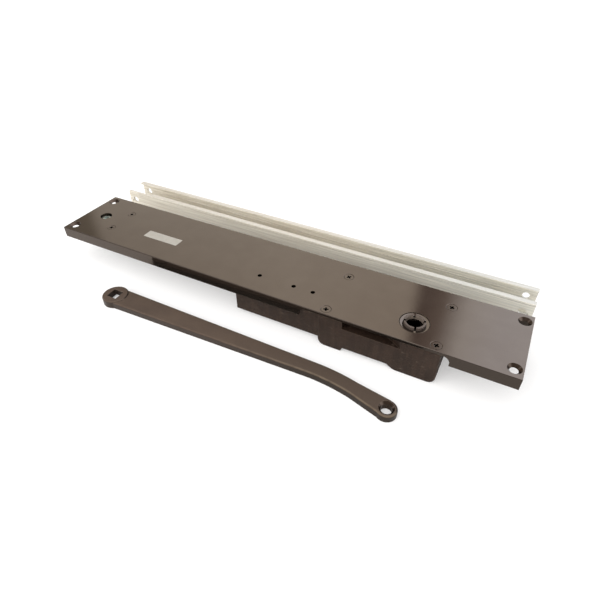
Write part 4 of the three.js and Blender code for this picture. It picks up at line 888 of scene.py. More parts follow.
class Piece:
    """One piece in the making, shaped by operators. Its object stays at the origin."""

    def __init__(self, thing: bpy.types.Object, name: str) -> None:
        """Takes an object and names it.

        Args:
            thing: The object.
            name: Its name, which its mesh takes too.
        """
        self.thing = thing
        self.thing.name = name
        self.thing.data.name = name

    # ---- starts

    @staticmethod
    def clear() -> None:
        """Leaves edit mode and deselects everything."""
        if bpy.context.object and bpy.context.object.mode != "OBJECT":
            bpy.ops.object.mode_set(mode="OBJECT")
        bpy.ops.object.select_all(action="DESELECT")

    @classmethod
    def block(cls, name: str, low: Point, high: Point) -> "Piece":
        """A block between its lowest and its highest corner.

        Args:
            name: The piece's name.
            low: Its lowest corner.
            high: Its highest corner.

        Returns:
            The block.
        """
        cls.clear()
        size = [b - a for a, b in zip(low, high)]
        at = [(a + b) / 2 for a, b in zip(low, high)]
        bpy.ops.mesh.primitive_cube_add(size=1, location=at, scale=size)
        piece = cls(bpy.context.active_object, name)
        piece.settle()
        return piece

    @classmethod
    def post(cls, name: str, at: Vector, half: tuple[float, float], foot: float, top: float) -> "Piece":
        """An upright block about a place, from its half sizes along X and Y and the heights of its ends."""
        x, y = half
        return cls.block(name, (at.x - x, at.y - y, foot), (at.x + x, at.y + y, top))

    @classmethod
    def turned(cls, name: str, profile: Profile, centre: Point, sides: Sides, axis: Axis = Axis.Z) -> "Piece":
        """A solid of revolution, drawn up station by station from a disc.

        Args:
            name: The piece's name.
            profile: Radius and height of each station, from the lowest up.
            centre: A point on its axis; the heights count from there.
            sides: Facets round it.
            axis: The direction it stands along.

        Returns:
            The solid.
        """
        cls.clear()
        radius, height = profile[0]
        bpy.ops.mesh.primitive_circle_add(
            vertices=sides, radius=radius, fill_type="NGON", location=(0, 0, height)
        )
        piece = cls(bpy.context.active_object, name)
        piece.settle()
        piece.enter()
        for next_radius, next_height in profile[1:]:
            bpy.ops.mesh.extrude_region_move(TRANSFORM_OT_translate={"value": (0, 0, next_height - height)})
            share = next_radius / radius
            bpy.ops.transform.resize(value=(share, share, 1), center_override=(0, 0, next_height))
            radius, height = next_radius, next_height
        bpy.ops.mesh.select_all(action="SELECT")
        bpy.ops.mesh.normals_make_consistent(inside=False)
        cls.clear()
        piece.thing.rotation_euler = axis.value
        piece.thing.location = centre
        piece.settle()
        return piece

    @classmethod
    def rod(
        cls, name: str, radius: float, foot: Point, length: float, sides: Sides, axis: Axis = Axis.Z,
        past: float = 0.0,
    ) -> "Piece":
        """A round bar from its lower end's middle, longer at both ends where past says so."""
        return cls.turned(name, [(radius, -past), (radius, length + past)], foot, sides, axis)

    @classmethod
    def copy_of(cls, node: str, name: str) -> "Piece":
        """A merged copy of a CAD node's mesh, with its flat faces made whole.

        Args:
            node: The CAD node.
            name: The new piece's name.

        Returns:
            The copy.
        """
        cls.clear()
        thing = bpy.data.objects.new(name, frame["nodes"][node].data.copy())
        bpy.context.scene.collection.objects.link(thing)
        thing.data.materials.clear()
        piece = cls(thing, name)
        piece.enter()
        bpy.ops.mesh.remove_doubles(threshold=0.1 * NEAR)
        bpy.ops.mesh.customdata_custom_splitnormals_clear()
        bpy.ops.mesh.dissolve_limited(angle_limit=FLAT)
        cls.clear()
        return piece

    def twin(self, name: str, shift: Point) -> "Piece":
        """A copy with its own mesh, moved.

        Args:
            name: The copy's name.
            shift: How far it is moved.

        Returns:
            The copy.
        """
        thing = self.thing.copy()
        thing.data = self.thing.data.copy()
        bpy.context.scene.collection.objects.link(thing)
        return Piece(thing, name).move(shift)

    # ---- edit mode

    def activate(self) -> None:
        """Makes this the only selected object, and the active one."""
        self.clear()
        self.thing.select_set(True)
        bpy.context.view_layer.objects.active = self.thing

    def settle(self) -> None:
        """Puts the object's place, turn and size into its mesh."""
        self.activate()
        bpy.ops.object.transform_apply(location=True, rotation=True, scale=True)

    def enter(self, part: Part = Part.FACES, action: str = "SELECT") -> None:
        """Enters edit mode with one kind of selection, everything selected or nothing.

        Args:
            part: What is selected.
            action: The operator's word for all or for nothing.
        """
        self.activate()
        bpy.ops.object.mode_set(mode="EDIT")
        bpy.ops.mesh.select_mode(type=part.value)
        bpy.ops.mesh.select_all(action=action)

    def pick(self, part: Part, test: Test) -> None:
        """Selects by place and stays in edit mode.

        Args:
            part: What to select.
            test: For faces, takes the centre and the normal; for edges, both ends.
        """
        self.enter(part, "DESELECT")
        bpy.ops.object.mode_set(mode="OBJECT")
        mesh = self.thing.data
        if part is Part.FACES:
            for face in mesh.polygons:
                face.select = test(face.center, face.normal)
        else:
            for edge in mesh.edges:
                edge.select = test(*(mesh.vertices[i].co for i in edge.vertices))
        bpy.ops.object.mode_set(mode="EDIT")

    def delete_faces(self, test: Test) -> None:
        """Removes faces by place.

        Args:
            test: Takes a face's centre and normal.
        """
        self.pick(Part.FACES, test)
        bpy.ops.mesh.delete(type="FACE")
        self.clear()

    def bevel_edges(self, test: Test, width: float, segments: int) -> None:
        """Rounds the edges that a test picks.

        Args:
            test: Takes both ends of an edge.
            width: How far back the round starts.
            segments: Steps round it.
        """
        self.pick(Part.EDGES, test)
        bpy.ops.mesh.bevel(offset=width, segments=segments, affect="EDGES", offset_type="OFFSET")
        self.clear()

    def press_top(self, border: float, depth: float) -> None:
        """Insets the top face by a border and presses what is inside down.

        Args:
            border: The border's width.
            depth: How far down.
        """
        self.pick(Part.FACES, lambda c, n: n.z > LOOKS)
        bpy.ops.mesh.inset(thickness=border)
        bpy.ops.mesh.extrude_region_move(TRANSFORM_OT_translate={"value": (0, 0, -depth)})
        self.clear()

    def scale_foot(self, share: float) -> None:
        """Scales the bottom face about its own middle.

        Args:
            share: The new size, as a share of the old.
        """
        self.pick(Part.FACES, lambda c, n: n.z < -LOOKS)
        self.thing.update_from_editmode()
        points = [p.co for p in self.thing.data.vertices if p.select]
        centre = sum(points, Vector()) / len(points)
        bpy.ops.transform.resize(value=(share, share, share), center_override=centre)
        self.clear()

    def slice_off(self, at: float, towards: int) -> "Piece":
        """Cuts the piece square to X and closes the cut.

        Args:
            at: Where the cut is.
            towards: The side that goes, 1 for the right and -1 for the left.

        Returns:
            This piece.
        """
        self.enter()
        bpy.ops.mesh.bisect(plane_co=(at, 0, 0), plane_no=(towards, 0, 0), use_fill=True, clear_outer=True)
        self.clear()
        return self

    # ---- whole piece

    def move(self, shift: Point) -> "Piece":
        """Moves the mesh."""
        self.thing.data.transform(Matrix.Translation(shift))
        return self

    def turn(self, angle: float, centre: Point) -> "Piece":
        """Turns the mesh about a vertical axis.

        Args:
            angle: The angle, anticlockwise from above.
            centre: A point on the axis.

        Returns:
            This piece.
        """
        there = Matrix.Translation(Vector(centre))
        self.thing.data.transform(there @ Matrix.Rotation(angle, 4, "Z") @ there.inverted())
        return self

    def modify(self, kind: str, **settings: object) -> None:
        """Adds a modifier and applies it.

        Args:
            kind: The modifier's type.
            settings: Its settings.
        """
        modifier = self.thing.modifiers.new(kind.lower(), kind)
        for name, value in settings.items():
            setattr(modifier, name, value)
        self.activate()
        bpy.ops.object.modifier_apply(modifier=modifier.name)

    def _combine(self, how: str, others: Sequence["Piece"]) -> "Piece":
        """Joins the others into one mesh and combines it with this one.

        Args:
            how: The boolean operation.
            others: The pieces, which are used up.

        Returns:
            This piece.
        """
        others[0].gather(others[1:])
        tool = others[0].thing
        self.modify("BOOLEAN", operation=how, solver="EXACT", object=tool)
        mesh = tool.data
        bpy.data.objects.remove(tool)
        bpy.data.meshes.remove(mesh)
        return self

    def cut(self, tools: Sequence["Piece"]) -> "Piece":
        """Cuts tools that don't overlap each other out of the piece."""
        return self._combine("DIFFERENCE", tools)

    def drill(self, radius: float, foot: Point, length: float, sides: Sides, axis: Axis = Axis.Z) -> "Piece":
        """Cuts a round hole right through the piece, foot and length being the piece's own."""
        return self.cut([Piece.rod("hole tool", radius, foot, length, sides, axis, PAST)])

    def weld(self, others: Sequence["Piece"]) -> "Piece":
        """Joins others to the piece as one body, one after another.

        Args:
            others: The pieces, which are used up.

        Returns:
            This piece.
        """
        for other in others:
            self._combine("UNION", [other])
        return self

    def keep_inside(self, tool: "Piece") -> "Piece":
        """Keeps only what lies inside a tool."""
        return self._combine("INTERSECT", [tool])

    def gather(self, others: Sequence["Piece"]) -> None:
        """Takes others' meshes into this piece as they are.

        Args:
            others: The pieces, which are used up.
        """
        self.activate()
        for other in others:
            other.thing.select_set(True)
        if others:
            bpy.ops.object.join()

    def ease_edges(self, width: float, segments: int = 2, angle: float = 35.0) -> "Piece":
        """Merges doubles, rounds the sharper edges a little, and shades flat faces flat.

        Args:
            width: The round's width.
            segments: Steps round it.
            angle: In degrees, the least turn of an edge that is rounded.

        Returns:
            The piece.
        """
        self.enter()
        bpy.ops.mesh.remove_doubles(threshold=0.2 * NEAR)
        bpy.ops.mesh.dissolve_degenerate(threshold=0.1 * NEAR)
        self.clear()
        self.modify(
            "BEVEL", width=width, segments=segments, limit_method="ANGLE", angle_limit=math.radians(angle),
            use_clamp_overlap=True, miter_outer="MITER_ARC",
        )
        self.activate()
        bpy.ops.object.shade_smooth_by_angle(angle=SHARP)
        self.modify("WEIGHTED_NORMAL", mode="FACE_AREA", weight=50, keep_sharp=True)
        return self

    def line(self, paints: Paintbox, key: Look, test: Test) -> None:
        """Gives the faces that a test picks a second finish, after the piece is dressed.

        Args:
            paints: The materials.
            key: The second finish.
            test: Takes a face's centre and normal.
        """
        mesh = self.thing.data
        mesh.materials.append(paints.material(key))
        last = len(mesh.materials) - 1
        for face in mesh.polygons:
            if test(face.center, face.normal):
                face.material_index = last

    def place(
        self, paints: Paintbox, body: str, key: Look, replaces: Sequence[str] = (), slot: Slot | None = None
    ) -> None:
        """Dresses the piece, puts it on its body and hides the CAD nodes that it stands for.

        Args:
            paints: The materials.
            body: The CAD body it rides on.
            key: Its finish.
            replaces: The CAD nodes that it stands for.
            slot: Not used.
        """
        paints.dress(self.thing, key)
        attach(self.thing, body)
        if replaces:
            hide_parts(*replaces)
        LOG.info("%s: %d faces on %s", self.thing.name, len(self.thing.data.polygons), body)


# --------------------------------------------------------------- sub-assemblies


@dataclass
class Assembly:
    """What every sub-assembly has: the paints that it is dressed with."""

    paints: Paintbox

    def build(self) -> None:
        """Makes the sub-assembly's pieces."""
        raise NotImplementedError

    def eased(self, node: str, name: str, key: Look, width: float, segments: int, angle: float) -> None:
        """Puts a copy of a CAD node, its edges rounded, in the node's place."""
        piece = Piece.copy_of(node, name).ease_edges(width, segments, angle)
        piece.place(self.paints, "closer", key, [node])


@dataclass
class FacePlate(Assembly):
    """The pressed tray that everything hangs from, with its bare label."""

    sheet: float = 3.2 * MM
    fold_radius: float = 0.9 * MM
    cutout_left: float = 112.2 * MM
    cutout_past_body: float = 8.1 * MM
    cutout_corner: float = 6.7 * MM
    corner_hole: float = 3.9 * MM
    corner_sink: float = 6.7 * MM
    screw_sink: float = 5.7 * MM
    screw_hole: float = 2.8 * MM
    bracket_sink: float = 5.1 * MM
    bracket_hole: float = 2.3 * MM
    valve_hole: float = 2.4 * MM
    hanger_hole: float = 7.2 * MM
    spindle_opening: float = 15.0 * MM
    edge: float = 0.22 * MM
    label_length: float = 49.5 * MM
    label_width: float = 13.0 * MM
    label_from_left: float = 103.5 * MM
    label_from_front: float = 30.2 * MM
    label_thickness: float = 0.12 * MM
    label_corner: float = 0.8 * MM
    label_border: float = 0.9 * MM
    label_pressed: float = 0.04 * MM
    label_edge: float = 0.03 * MM

    def build(self) -> None:
        """Makes the tray and its label."""
        self.low, self.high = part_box("face_plate")
        tray = self._folded_sheet()
        tray.cut([self._cutout()])
        tray.cut(self._holes())
        tray.ease_edges(self.edge)
        tray.place(self.paints, "closer", Slot.BRONZE_PAINT, ["face_plate"])
        # Painted shade on the walls of the holes and countersinks, by a darker finish.
        skin = self.high.z - self.edge
        bores = [(at.xy, sink + self.edge) for at, sink, _ in self._sinks()]
        bores += [(at.xy, radius + self.edge) for at, radius in self._plain_holes()]
        tray.line(
            self.paints, PAINTED_BORE_SHADE,
            lambda c, n: c.z < skin and any((c.xy - at).length < reach for at, reach in bores),
        )
        self._label()

    def _folded_sheet(self) -> Piece:
        """A sheet folded down along both long sides.

        Returns:
            The tray, without its holes.
        """
        low, high = self.low, self.high
        tray = Piece.block("face_plate_tray", low, high)
        tray.delete_faces(lambda c, n: c.z < low.z + NEAR or c.x < low.x + NEAR or c.x > high.x - NEAR)
        tray.modify("SOLIDIFY", thickness=self.sheet, offset=-1, use_even_offset=True)
        tray.bevel_edges(
            lambda a, b: min(a.z, b.z) > high.z - NEAR and abs(a.x - b.x) > self.sheet,
            self.fold_radius, segments=5,
        )
        return tray

    def _cutout(self) -> Piece:
        """The tool that clears the front flange over the closer's body.

        Returns:
            The tool.
        """
        left = middle("spindle").x - self.cutout_left
        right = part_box("closer_body")[1].x + self.cutout_past_body
        top = self.high.z - self.sheet
        tool = Piece.block(
            "cutout tool",
            (left, self.low.y - PAST, self.low.z - PAST), (right, self.low.y + self.sheet + PAST, top),
        )
        tool.bevel_edges(
            lambda a, b: min(a.z, b.z) > top - NEAR and abs(a.y - b.y) > NEAR,
            self.cutout_corner, segments=12,
        )
        return tool

    def _sinks(self) -> list[tuple[Vector, float, float]]:
        """The place, countersink radius and hole radius of each countersunk hole.

        Returns:
            One row for each hole.
        """
        sinks = []
        for side in ("front_left", "front_right", "rear_left", "rear_right"):
            sinks.append((opening_at(f"corner_hole_{side}"), self.corner_sink, self.corner_hole))
            sinks.append((middle(f"body_screw_{side}"), self.screw_sink, self.screw_hole))
        for side in ("front", "rear"):
            sinks.append((middle(f"bracket_screw_{side}"), self.bracket_sink, self.bracket_hole))
        return sinks

    def _plain_holes(self) -> list[tuple[Vector, float]]:
        """The place and radius of each straight hole."""
        holes = [(middle(f"{valve}_valve"), self.valve_hole) for valve in ("backcheck", "sweep", "latch")]
        return holes + [(middle("hanger_screw"), self.hanger_hole), (middle("spindle"), self.spindle_opening)]

    def _holes(self) -> list[Piece]:
        """The tools for every hole through the web.

        Returns:
            The tools.
        """
        top = self.high.z
        under = top - self.sheet - PAST
        tools = []
        for at, sink, hole in self._sinks():
            profile = [(hole, under), (hole, top - (sink - hole)), (sink + PAST, top + PAST)]
            tools.append(Piece.turned("sink tool", profile, (at.x, at.y, 0), Sides.SINK))
        for at, radius in self._plain_holes():
            foot = (at.x, at.y, under)
            tools.append(Piece.rod("bore tool", radius, foot, self.sheet + 2 * PAST, Sides.BORE))
        return tools

    def _label(self) -> None:
        """A bare foil label with a pressed border."""
        x = self.low.x + self.label_from_left
        y = self.low.y + self.label_from_front
        z = self.high.z
        far = (x + self.label_length, y + self.label_width, z + self.label_thickness)
        label = Piece.block("label", (x, y, z), far)
        label.bevel_edges(lambda a, b: abs(a.z - b.z) > NEAR, self.label_corner, segments=6)
        label.press_top(self.label_border, self.label_pressed)
        label.ease_edges(self.label_edge)
        label.place(self.paints, "closer", LABEL_FOIL, slot=Slot.ALUMINIUM)


@dataclass
class FlatHeadScrews(Assembly):
    """The countersunk screws with cross recesses, each size modelled once and copied."""

    shank_share: float = 0.49
    thread_pitch: float = 0.8 * MM
    thread_depth: float = 0.28 * MM
    plain_shank: float = 3.0 * MM
    recess_head: float = 5.1 * MM
    recess_depth: float = 2.4 * MM
    recess_span: float = 5.8 * MM
    blade: float = 1.9 * MM
    blade_foot: float = 0.55
    land: float = 0.35 * MM
    edge: float = 0.14 * MM
    dark_share: float = 0.64
    dark_from: float = 0.12 * MM
    dark_past: float = 0.2 * MM
    dark_tilt: float = -0.1

    def build(self) -> None:
        """Makes both sizes and copies them to their places, each turned by its own angle."""
        self._set("body_screw", {"front_left": 20, "rear_left": 48, "front_right": -15, "rear_right": 66})
        self._set("bracket_screw", {"front": 35, "rear": 80})

    def _set(self, size: str, turns: dict[str, int]) -> None:
        """Makes the screws of one size.

        Args:
            size: The start of their CAD nodes' names.
            turns: The end of each node's name, and the screw's turn in degrees.
        """
        first = f"{size}_{next(iter(turns))}"
        pattern = self._screw(first)
        start = middle(first)
        for side, degrees in turns.items():
            node = f"{size}_{side}"
            at = middle(node)
            screw = pattern.twin(f"{node}_threaded", at - start)
            screw.turn(math.radians(degrees), at)
            screw.place(self.paints, "closer", Slot.BRONZE_PAINT, [node])
            # Painted shade in the cross recess.
            self._paint_recess_shade(screw, node)
        bpy.data.objects.remove(pattern.thing)

    def _screw(self, node: str) -> Piece:
        """One screw in the place of a CAD node.

        Args:
            node: The CAD node.

        Returns:
            The screw, with no finish yet.
        """
        low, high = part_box(node)
        at, head = middle(node), half_width(node)
        shank = head * self.shank_share
        head_depth = head - shank
        top = high.z - low.z
        neck = top - head_depth
        profile = thread(shank, self.thread_depth, self.thread_pitch, 0.0, neck - self.plain_shank)
        profile += [(shank, neck - self.land), (head, top - self.land), (head, top)]
        screw = Piece.turned("screw pattern", profile, (at.x, at.y, low.z), Sides.SHANK)
        screw.cut([self._recess(at, high.z, head / self.recess_head)])
        return screw.ease_edges(self.edge, angle=STEEP)

    def _paint_recess_shade(self, screw: Piece, node: str) -> None:
        """Paints shade on the walls of the cross.

        Args:
            screw: The screw.
            node: The CAD node that it stands for.
        """
        axis = middle(node).xy
        reach = self.dark_share * half_width(node)
        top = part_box(node)[1].z
        skin, floor = top - self.dark_from, top - self.recess_depth - self.dark_past
        screw.line(
            self.paints, PAINTED_RECESS_SHADE,
            lambda c, n: floor < c.z < skin and n.z > self.dark_tilt and (c.xy - axis).length < reach,
        )

    def _recess(self, at: Vector, top: float, scale: float) -> Piece:
        """The tapered cross that is pressed into a head, scaled to the head's size.

        Args:
            at: The screw's axis.
            top: The height of the head's face.
            scale: The head's size as a share of the larger one's.

        Returns:
            The tool.
        """
        reach = self.recess_span / 2 * scale
        half = self.blade / 2
        floor = top - self.recess_depth * scale
        arms = []
        for sides in ((reach, half), (half, reach)):
            arm = Piece.post("recess tool", at, sides, floor, top + 0.4 * PAST)
            arm.scale_foot(self.blade_foot)
            arms.append(arm)
        return arms[0].weld(arms[1:])


@dataclass
class Spindle(Assembly):
    """The spindle's socketed crown on the CAD pinion, and the dished cap ring round it."""

    radius: float = 10.8 * MM
    socket: float = 12.0 * MM
    socket_depth: float = 13.0 * MM
    rim_round: float = 0.5 * MM
    notches: int = 4
    notch_width: float = 2.2 * MM
    notch_depth: float = 3.4 * MM
    notch_phase: float = math.radians(108)
    phase: float = math.radians(117)
    join_below_top: float = 13.6 * MM
    mouth: float = 8.6 * MM
    mouth_depth: float = 5.3 * MM
    mouth_flare: float = 0.6 * MM
    shaft_edge: float = 0.15 * MM
    crown_edge: float = 0.22 * MM
    cap_dish: float = 0.6 * MM
    cap_spigot: float = 1.2 * MM
    cap_shoulder: float = 2.0 * MM
    cap_gap: float = 0.3 * MM
    cap_chamfer: float = 0.3 * MM
    cap_rim: float = 0.5 * MM
    cap_edge: float = 0.12 * MM

    def build(self) -> None:
        """Makes the spindle and its cap."""
        low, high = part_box("spindle")
        self.axis = middle("spindle")
        join = high.z - self.join_below_top
        shaft = Piece.copy_of("spindle", "spindle_with_crown")
        reach = 2 * self.radius
        shaft.keep_inside(Piece.post("keep tool", self.axis, (reach, reach), low.z - PAST, join))
        crown = self._crown(join, high.z)
        shaft.ease_edges(self.shaft_edge)
        crown.ease_edges(self.crown_edge, segments=3)
        shaft.gather([crown])
        shaft.place(self.paints, "spindle", DRIVE_STEEL, ["spindle"], slot=Slot.GROUND_STEEL)
        self._finish_mouth(shaft, join, high.z)
        self._cap()

    def _out(self, at: Vector) -> float:
        """How far a place is from the axis."""
        return (at.xy - self.axis.xy).length

    def _finish_mouth(self, shaft: Piece, join: float, top: float) -> None:
        """Turned steel round the mouth, and painted shade in the socket, under the mouth's ledge and in the
        notches.

        Args:
            shaft: The spindle.
            join: The height of the crown's foot.
            top: The height of its face.
        """
        out = self._out
        socket, ledge = self.socket / 2 + 4 * SLACK, top - self.mouth_depth + 3 * SLACK
        near, wall, rim = self.mouth - SLACK, self.mouth + SLACK, self.radius - 4 * SLACK
        shaft.line(
            self.paints, MOUTH_STEEL,
            lambda c, n: c.z > ledge and abs(n.z) < UPRIGHT and near < out(c) < wall,
        )
        # Painted shade in the socket, under the ledge and in the notches.
        shaft.line(
            self.paints, PAINTED_RECESS_SHADE,
            lambda c, n: c.z > join and (out(c) < socket or c.z < ledge and out(c) < near),
        )
        shaft.line(self.paints, PAINTED_RECESS_SHADE, lambda c, n: join < c.z < top - MM and wall < out(c) < rim)

    def _crown(self, foot: float, top: float) -> Piece:
        """The crown with its square socket, round mouth and notched rim.

        Args:
            foot: The height of its foot.
            top: The height of its face.

        Returns:
            The crown.
        """
        x, y = self.axis.xy
        eased = self.radius - self.rim_round
        rim = [(self.radius, foot), (self.radius, top - self.rim_round), (eased, top)]
        crown = Piece.turned("crown", rim, (x, y, 0), Sides.BORE)
        half = self.socket / 2
        socket = Piece.post("socket tool", self.axis, (half, half), top - self.socket_depth, top + PAST)
        crown.cut([socket.turn(self.phase, self.axis)])
        mouth, flare = self.mouth, self.mouth_flare
        bell = [(mouth, top - self.mouth_depth), (mouth, top - flare), (mouth + flare + PAST, top + PAST)]
        crown.cut([Piece.turned("mouth tool", bell, (x, y, 0), Sides.BORE)])
        tools = []
        for count in range(self.notches):
            tool = Piece.block(
                "notch tool", (x + mouth - PAST, y - self.notch_width / 2, top - self.notch_depth),
                (x + self.radius + 2 * PAST, y + self.notch_width / 2, top + PAST),
            )
            tools.append(tool.turn(self.notch_phase + count * math.tau / self.notches, self.axis))
        return crown.cut(tools)

    def _cap(self) -> None:
        """The cap ring, dished towards the spindle."""
        low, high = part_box("bearing_cap")
        x, y = self.axis.xy
        outer = half_width("bearing_cap")
        spigot = outer - self.cap_spigot
        shoulder = low.z + self.cap_shoulder
        inner = self.radius + self.cap_gap
        rim = outer - self.cap_chamfer
        ring = Piece.turned(
            "bearing_cap_ring",
            [(spigot, low.z), (spigot, shoulder), (outer, shoulder), (outer, high.z - self.cap_chamfer),
             (rim, high.z), (rim - self.cap_rim, high.z), (inner - self.cap_rim, high.z - self.cap_dish)],
            (x, y, 0), Sides.RING,
        )
        ring.drill(inner, (x, y, low.z), high.z - low.z, Sides.RING)
        ring.ease_edges(self.cap_edge, angle=STEEP)
        ring.place(self.paints, "closer", Slot.BRONZE_PAINT, ["bearing_cap"])
        # Painted shade on the ring's inner wall.
        ring.line(self.paints, PAINTED_RECESS_SHADE, lambda c, n: abs(n.z) < UPRIGHT and self._out(c) < inner + SLACK)


@dataclass
class CloserBody(Assembly):
    """The casting under the plate."""

    edge: float = 0.8 * MM

    def build(self) -> None:
        """A cast skin with eased edges over the CAD form."""
        self.eased("closer_body", "closer_casting", Slot.CAST_IRON, self.edge, segments=3, angle=30.0)


@dataclass
class HangerParts(Assembly):
    """The zinc bracket near the left end, with its socket screw and nut."""

    edge: float = 0.35 * MM
    shank: float = 3.0 * MM
    plain_shank: float = 2.0 * MM
    thread_pitch: float = 1.0 * MM
    thread_depth: float = 0.35 * MM
    rim: float = 0.65 * MM
    socket_across: float = 5.5 * MM
    socket_depth: float = 1.6 * MM
    nut_across: float = 10.0 * MM
    nut_hole: float = 3.3 * MM
    nut_chamfer: float = 0.9 * MM
    fine_edge: float = 0.12 * MM

    def build(self) -> None:
        """Makes all three."""
        self.eased("hanger_bracket", "hanger_bracket_eased", Slot.ZINC, self.edge, segments=3, angle=25.0)
        self._screw()
        self._nut()

    def _screw(self) -> None:
        """A low socket-head screw."""
        low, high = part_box("hanger_screw")
        at, head = middle("hanger_screw"), half_width("hanger_screw")
        top = high.z - low.z
        seat = top - 4 * self.rim
        profile = thread(self.shank, self.thread_depth, self.thread_pitch, 0.0, seat - self.plain_shank)
        profile += [(self.shank, seat), (head, seat), (head, top - self.rim), (head - self.rim, top)]
        screw = Piece.turned("hanger_screw_threaded", profile, (at.x, at.y, low.z), Sides.HOLE)
        foot = (at.x, at.y, high.z - self.socket_depth)
        corner = to_corner(self.socket_across)
        screw.cut([Piece.rod("socket tool", corner, foot, self.socket_depth + PAST, Sides.HEXAGON)])
        screw.ease_edges(self.fine_edge, angle=STEEP)
        screw.place(self.paints, "closer", Slot.ZINC, ["hanger_screw"])

    def _nut(self) -> None:
        """A nut, chamfered on both faces."""
        low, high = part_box("hanger_nut")
        at = middle("hanger_nut")
        foot, height = (at.x, at.y, low.z), high.z - low.z
        corner = to_corner(self.nut_across)
        nut = Piece.rod("hanger_nut_chamfered", corner, foot, height, Sides.HEXAGON)
        flat, step, clear = corner - self.nut_chamfer, 0.5 * self.nut_chamfer, corner + SLACK
        form = [(flat, 0.0), (clear, step), (clear, height - step), (flat, height)]
        nut.keep_inside(Piece.turned("chamfer tool", form, foot, Sides.BORE))
        nut.drill(self.nut_hole, foot, height, Sides.HOLE)
        nut.ease_edges(self.fine_edge, angle=STEEP)
        nut.place(self.paints, "closer", Slot.ZINC, ["hanger_nut"])


@dataclass
class SpringHousing(Assembly):
    """The spring and its tube, the end cap, the adjuster's head and the plug at the other end."""

    wall: float = 1.5 * MM
    edge: float = 0.3 * MM
    flange_chamfer: float = 1.0 * MM
    cap_hole: float = 4.3 * MM
    cap_flange: float = 5.5 * MM
    cap_spigot: float = 11.7 * MM
    shank: float = 4.0 * MM
    head_across: float = 10.0 * MM
    head_length: float = 6.0 * MM
    head_chamfer: tuple[float, float] = (0.8 * MM, 0.5 * MM)
    head_edge: float = 0.1 * MM
    plain_shank: float = 6.0 * MM
    thread_pitch: float = 1.5 * MM
    thread_depth: float = 0.4 * MM
    spring_gap: float = 0.01 * MM

    def build(self) -> None:
        """Makes the parts that close the bore and the tube, and the spring."""
        self._tube()
        self._end_cap()
        self._adjuster()
        self.eased("end_plug", "end_plug_eased", Slot.DARK_STEEL, self.edge, segments=2, angle=40.0)
        self._spring()

    def _spring(self) -> None:
        """The main spring, split in two at a point set by the seat's and the piston's travel, both halves on
        the closer.
        """
        low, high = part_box("main_spring")
        seat, piston = travel("spring_seat_slide"), travel("piston_slide")
        still = low.x + (high.x - low.x) * seat / (seat + piston)
        ends = (
            ("main_spring_seat_end", "spring_seat_slide", 1, 1 - seat / (still - low.x)),
            ("main_spring_piston_end", "piston_slide", -1, 1 - piston / (high.x - still)),
        )
        for name, joint, side, keep in ends:
            end = Piece.copy_of("main_spring", name).slice_off(still - side * self.spring_gap, side)
            end.place(self.paints, "closer", Slot.SPRING_STEEL, ["main_spring"])
            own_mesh(end.thing)

    @staticmethod
    def _left_end(node: str) -> tuple[Vector, float, float]:
        """The middle of a round node's left end, its radius and its length.

        Args:
            node: The CAD node.

        Returns:
            The three measures.
        """
        low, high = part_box(node)
        at = middle(node)
        return Vector((low.x, at.y, at.z)), (high.z - low.z) / 2, high.x - low.x

    def _tube(self) -> None:
        """A drawn steel tube."""
        at, radius, length = self._left_end("spring_tube")
        tube = Piece.rod("spring_tube_drawn", radius, at, length, Sides.RING, Axis.X)
        tube.drill(radius - self.wall, at, length, Sides.RING, Axis.X)
        tube.ease_edges(self.edge)
        tube.place(self.paints, "closer", Slot.DARK_STEEL, ["spring_tube"])

    def _end_cap(self) -> None:
        """The turned cap in the tube's left end."""
        at, radius, length = self._left_end("tube_end_cap")
        chamfer, flange, spigot = self.flange_chamfer, self.cap_flange, self.cap_spigot
        profile = [(radius - chamfer, 0.0), (radius, chamfer), (radius, flange)]
        profile += [(spigot, flange), (spigot, length)]
        cap = Piece.turned("tube_end_cap_turned", profile, at, Sides.RING, Axis.X)
        cap.drill(self.cap_hole, at, length, Sides.HOLE, Axis.X)
        cap.ease_edges(self.edge)
        cap.place(self.paints, "closer", Slot.DARK_STEEL, ["tube_end_cap"])

    def _adjuster(self) -> None:
        """The lead screw and its six-sided head."""
        at, _, length = self._left_end("adjusting_screw")
        corner = to_corner(self.head_across)
        head = Piece.rod("adjusting_screw_threaded", corner, at, self.head_length, Sides.HEXAGON, Axis.X)
        inwards, along = self.head_chamfer
        clear = corner + SLACK
        form = [(corner - inwards, 0.0), (clear, along), (clear, self.head_length)]
        head.keep_inside(Piece.turned("chamfer tool", form, at, Sides.BORE, Axis.X))
        start = self.head_length + self.plain_shank
        ridges = thread(self.shank, self.thread_depth, self.thread_pitch, start, length)
        profile = [(self.shank, 0.5 * self.head_length), (self.shank, start - 2 * SLACK), *ridges[:-1]]
        profile.append((self.shank - self.thread_depth, length))
        head.weld([Piece.turned("shank", profile, at, Sides.SHANK, Axis.X)])
        head.ease_edges(self.head_edge, angle=STEEP)
        head.place(self.paints, "adjuster", Slot.GROUND_STEEL, ["adjusting_screw"])


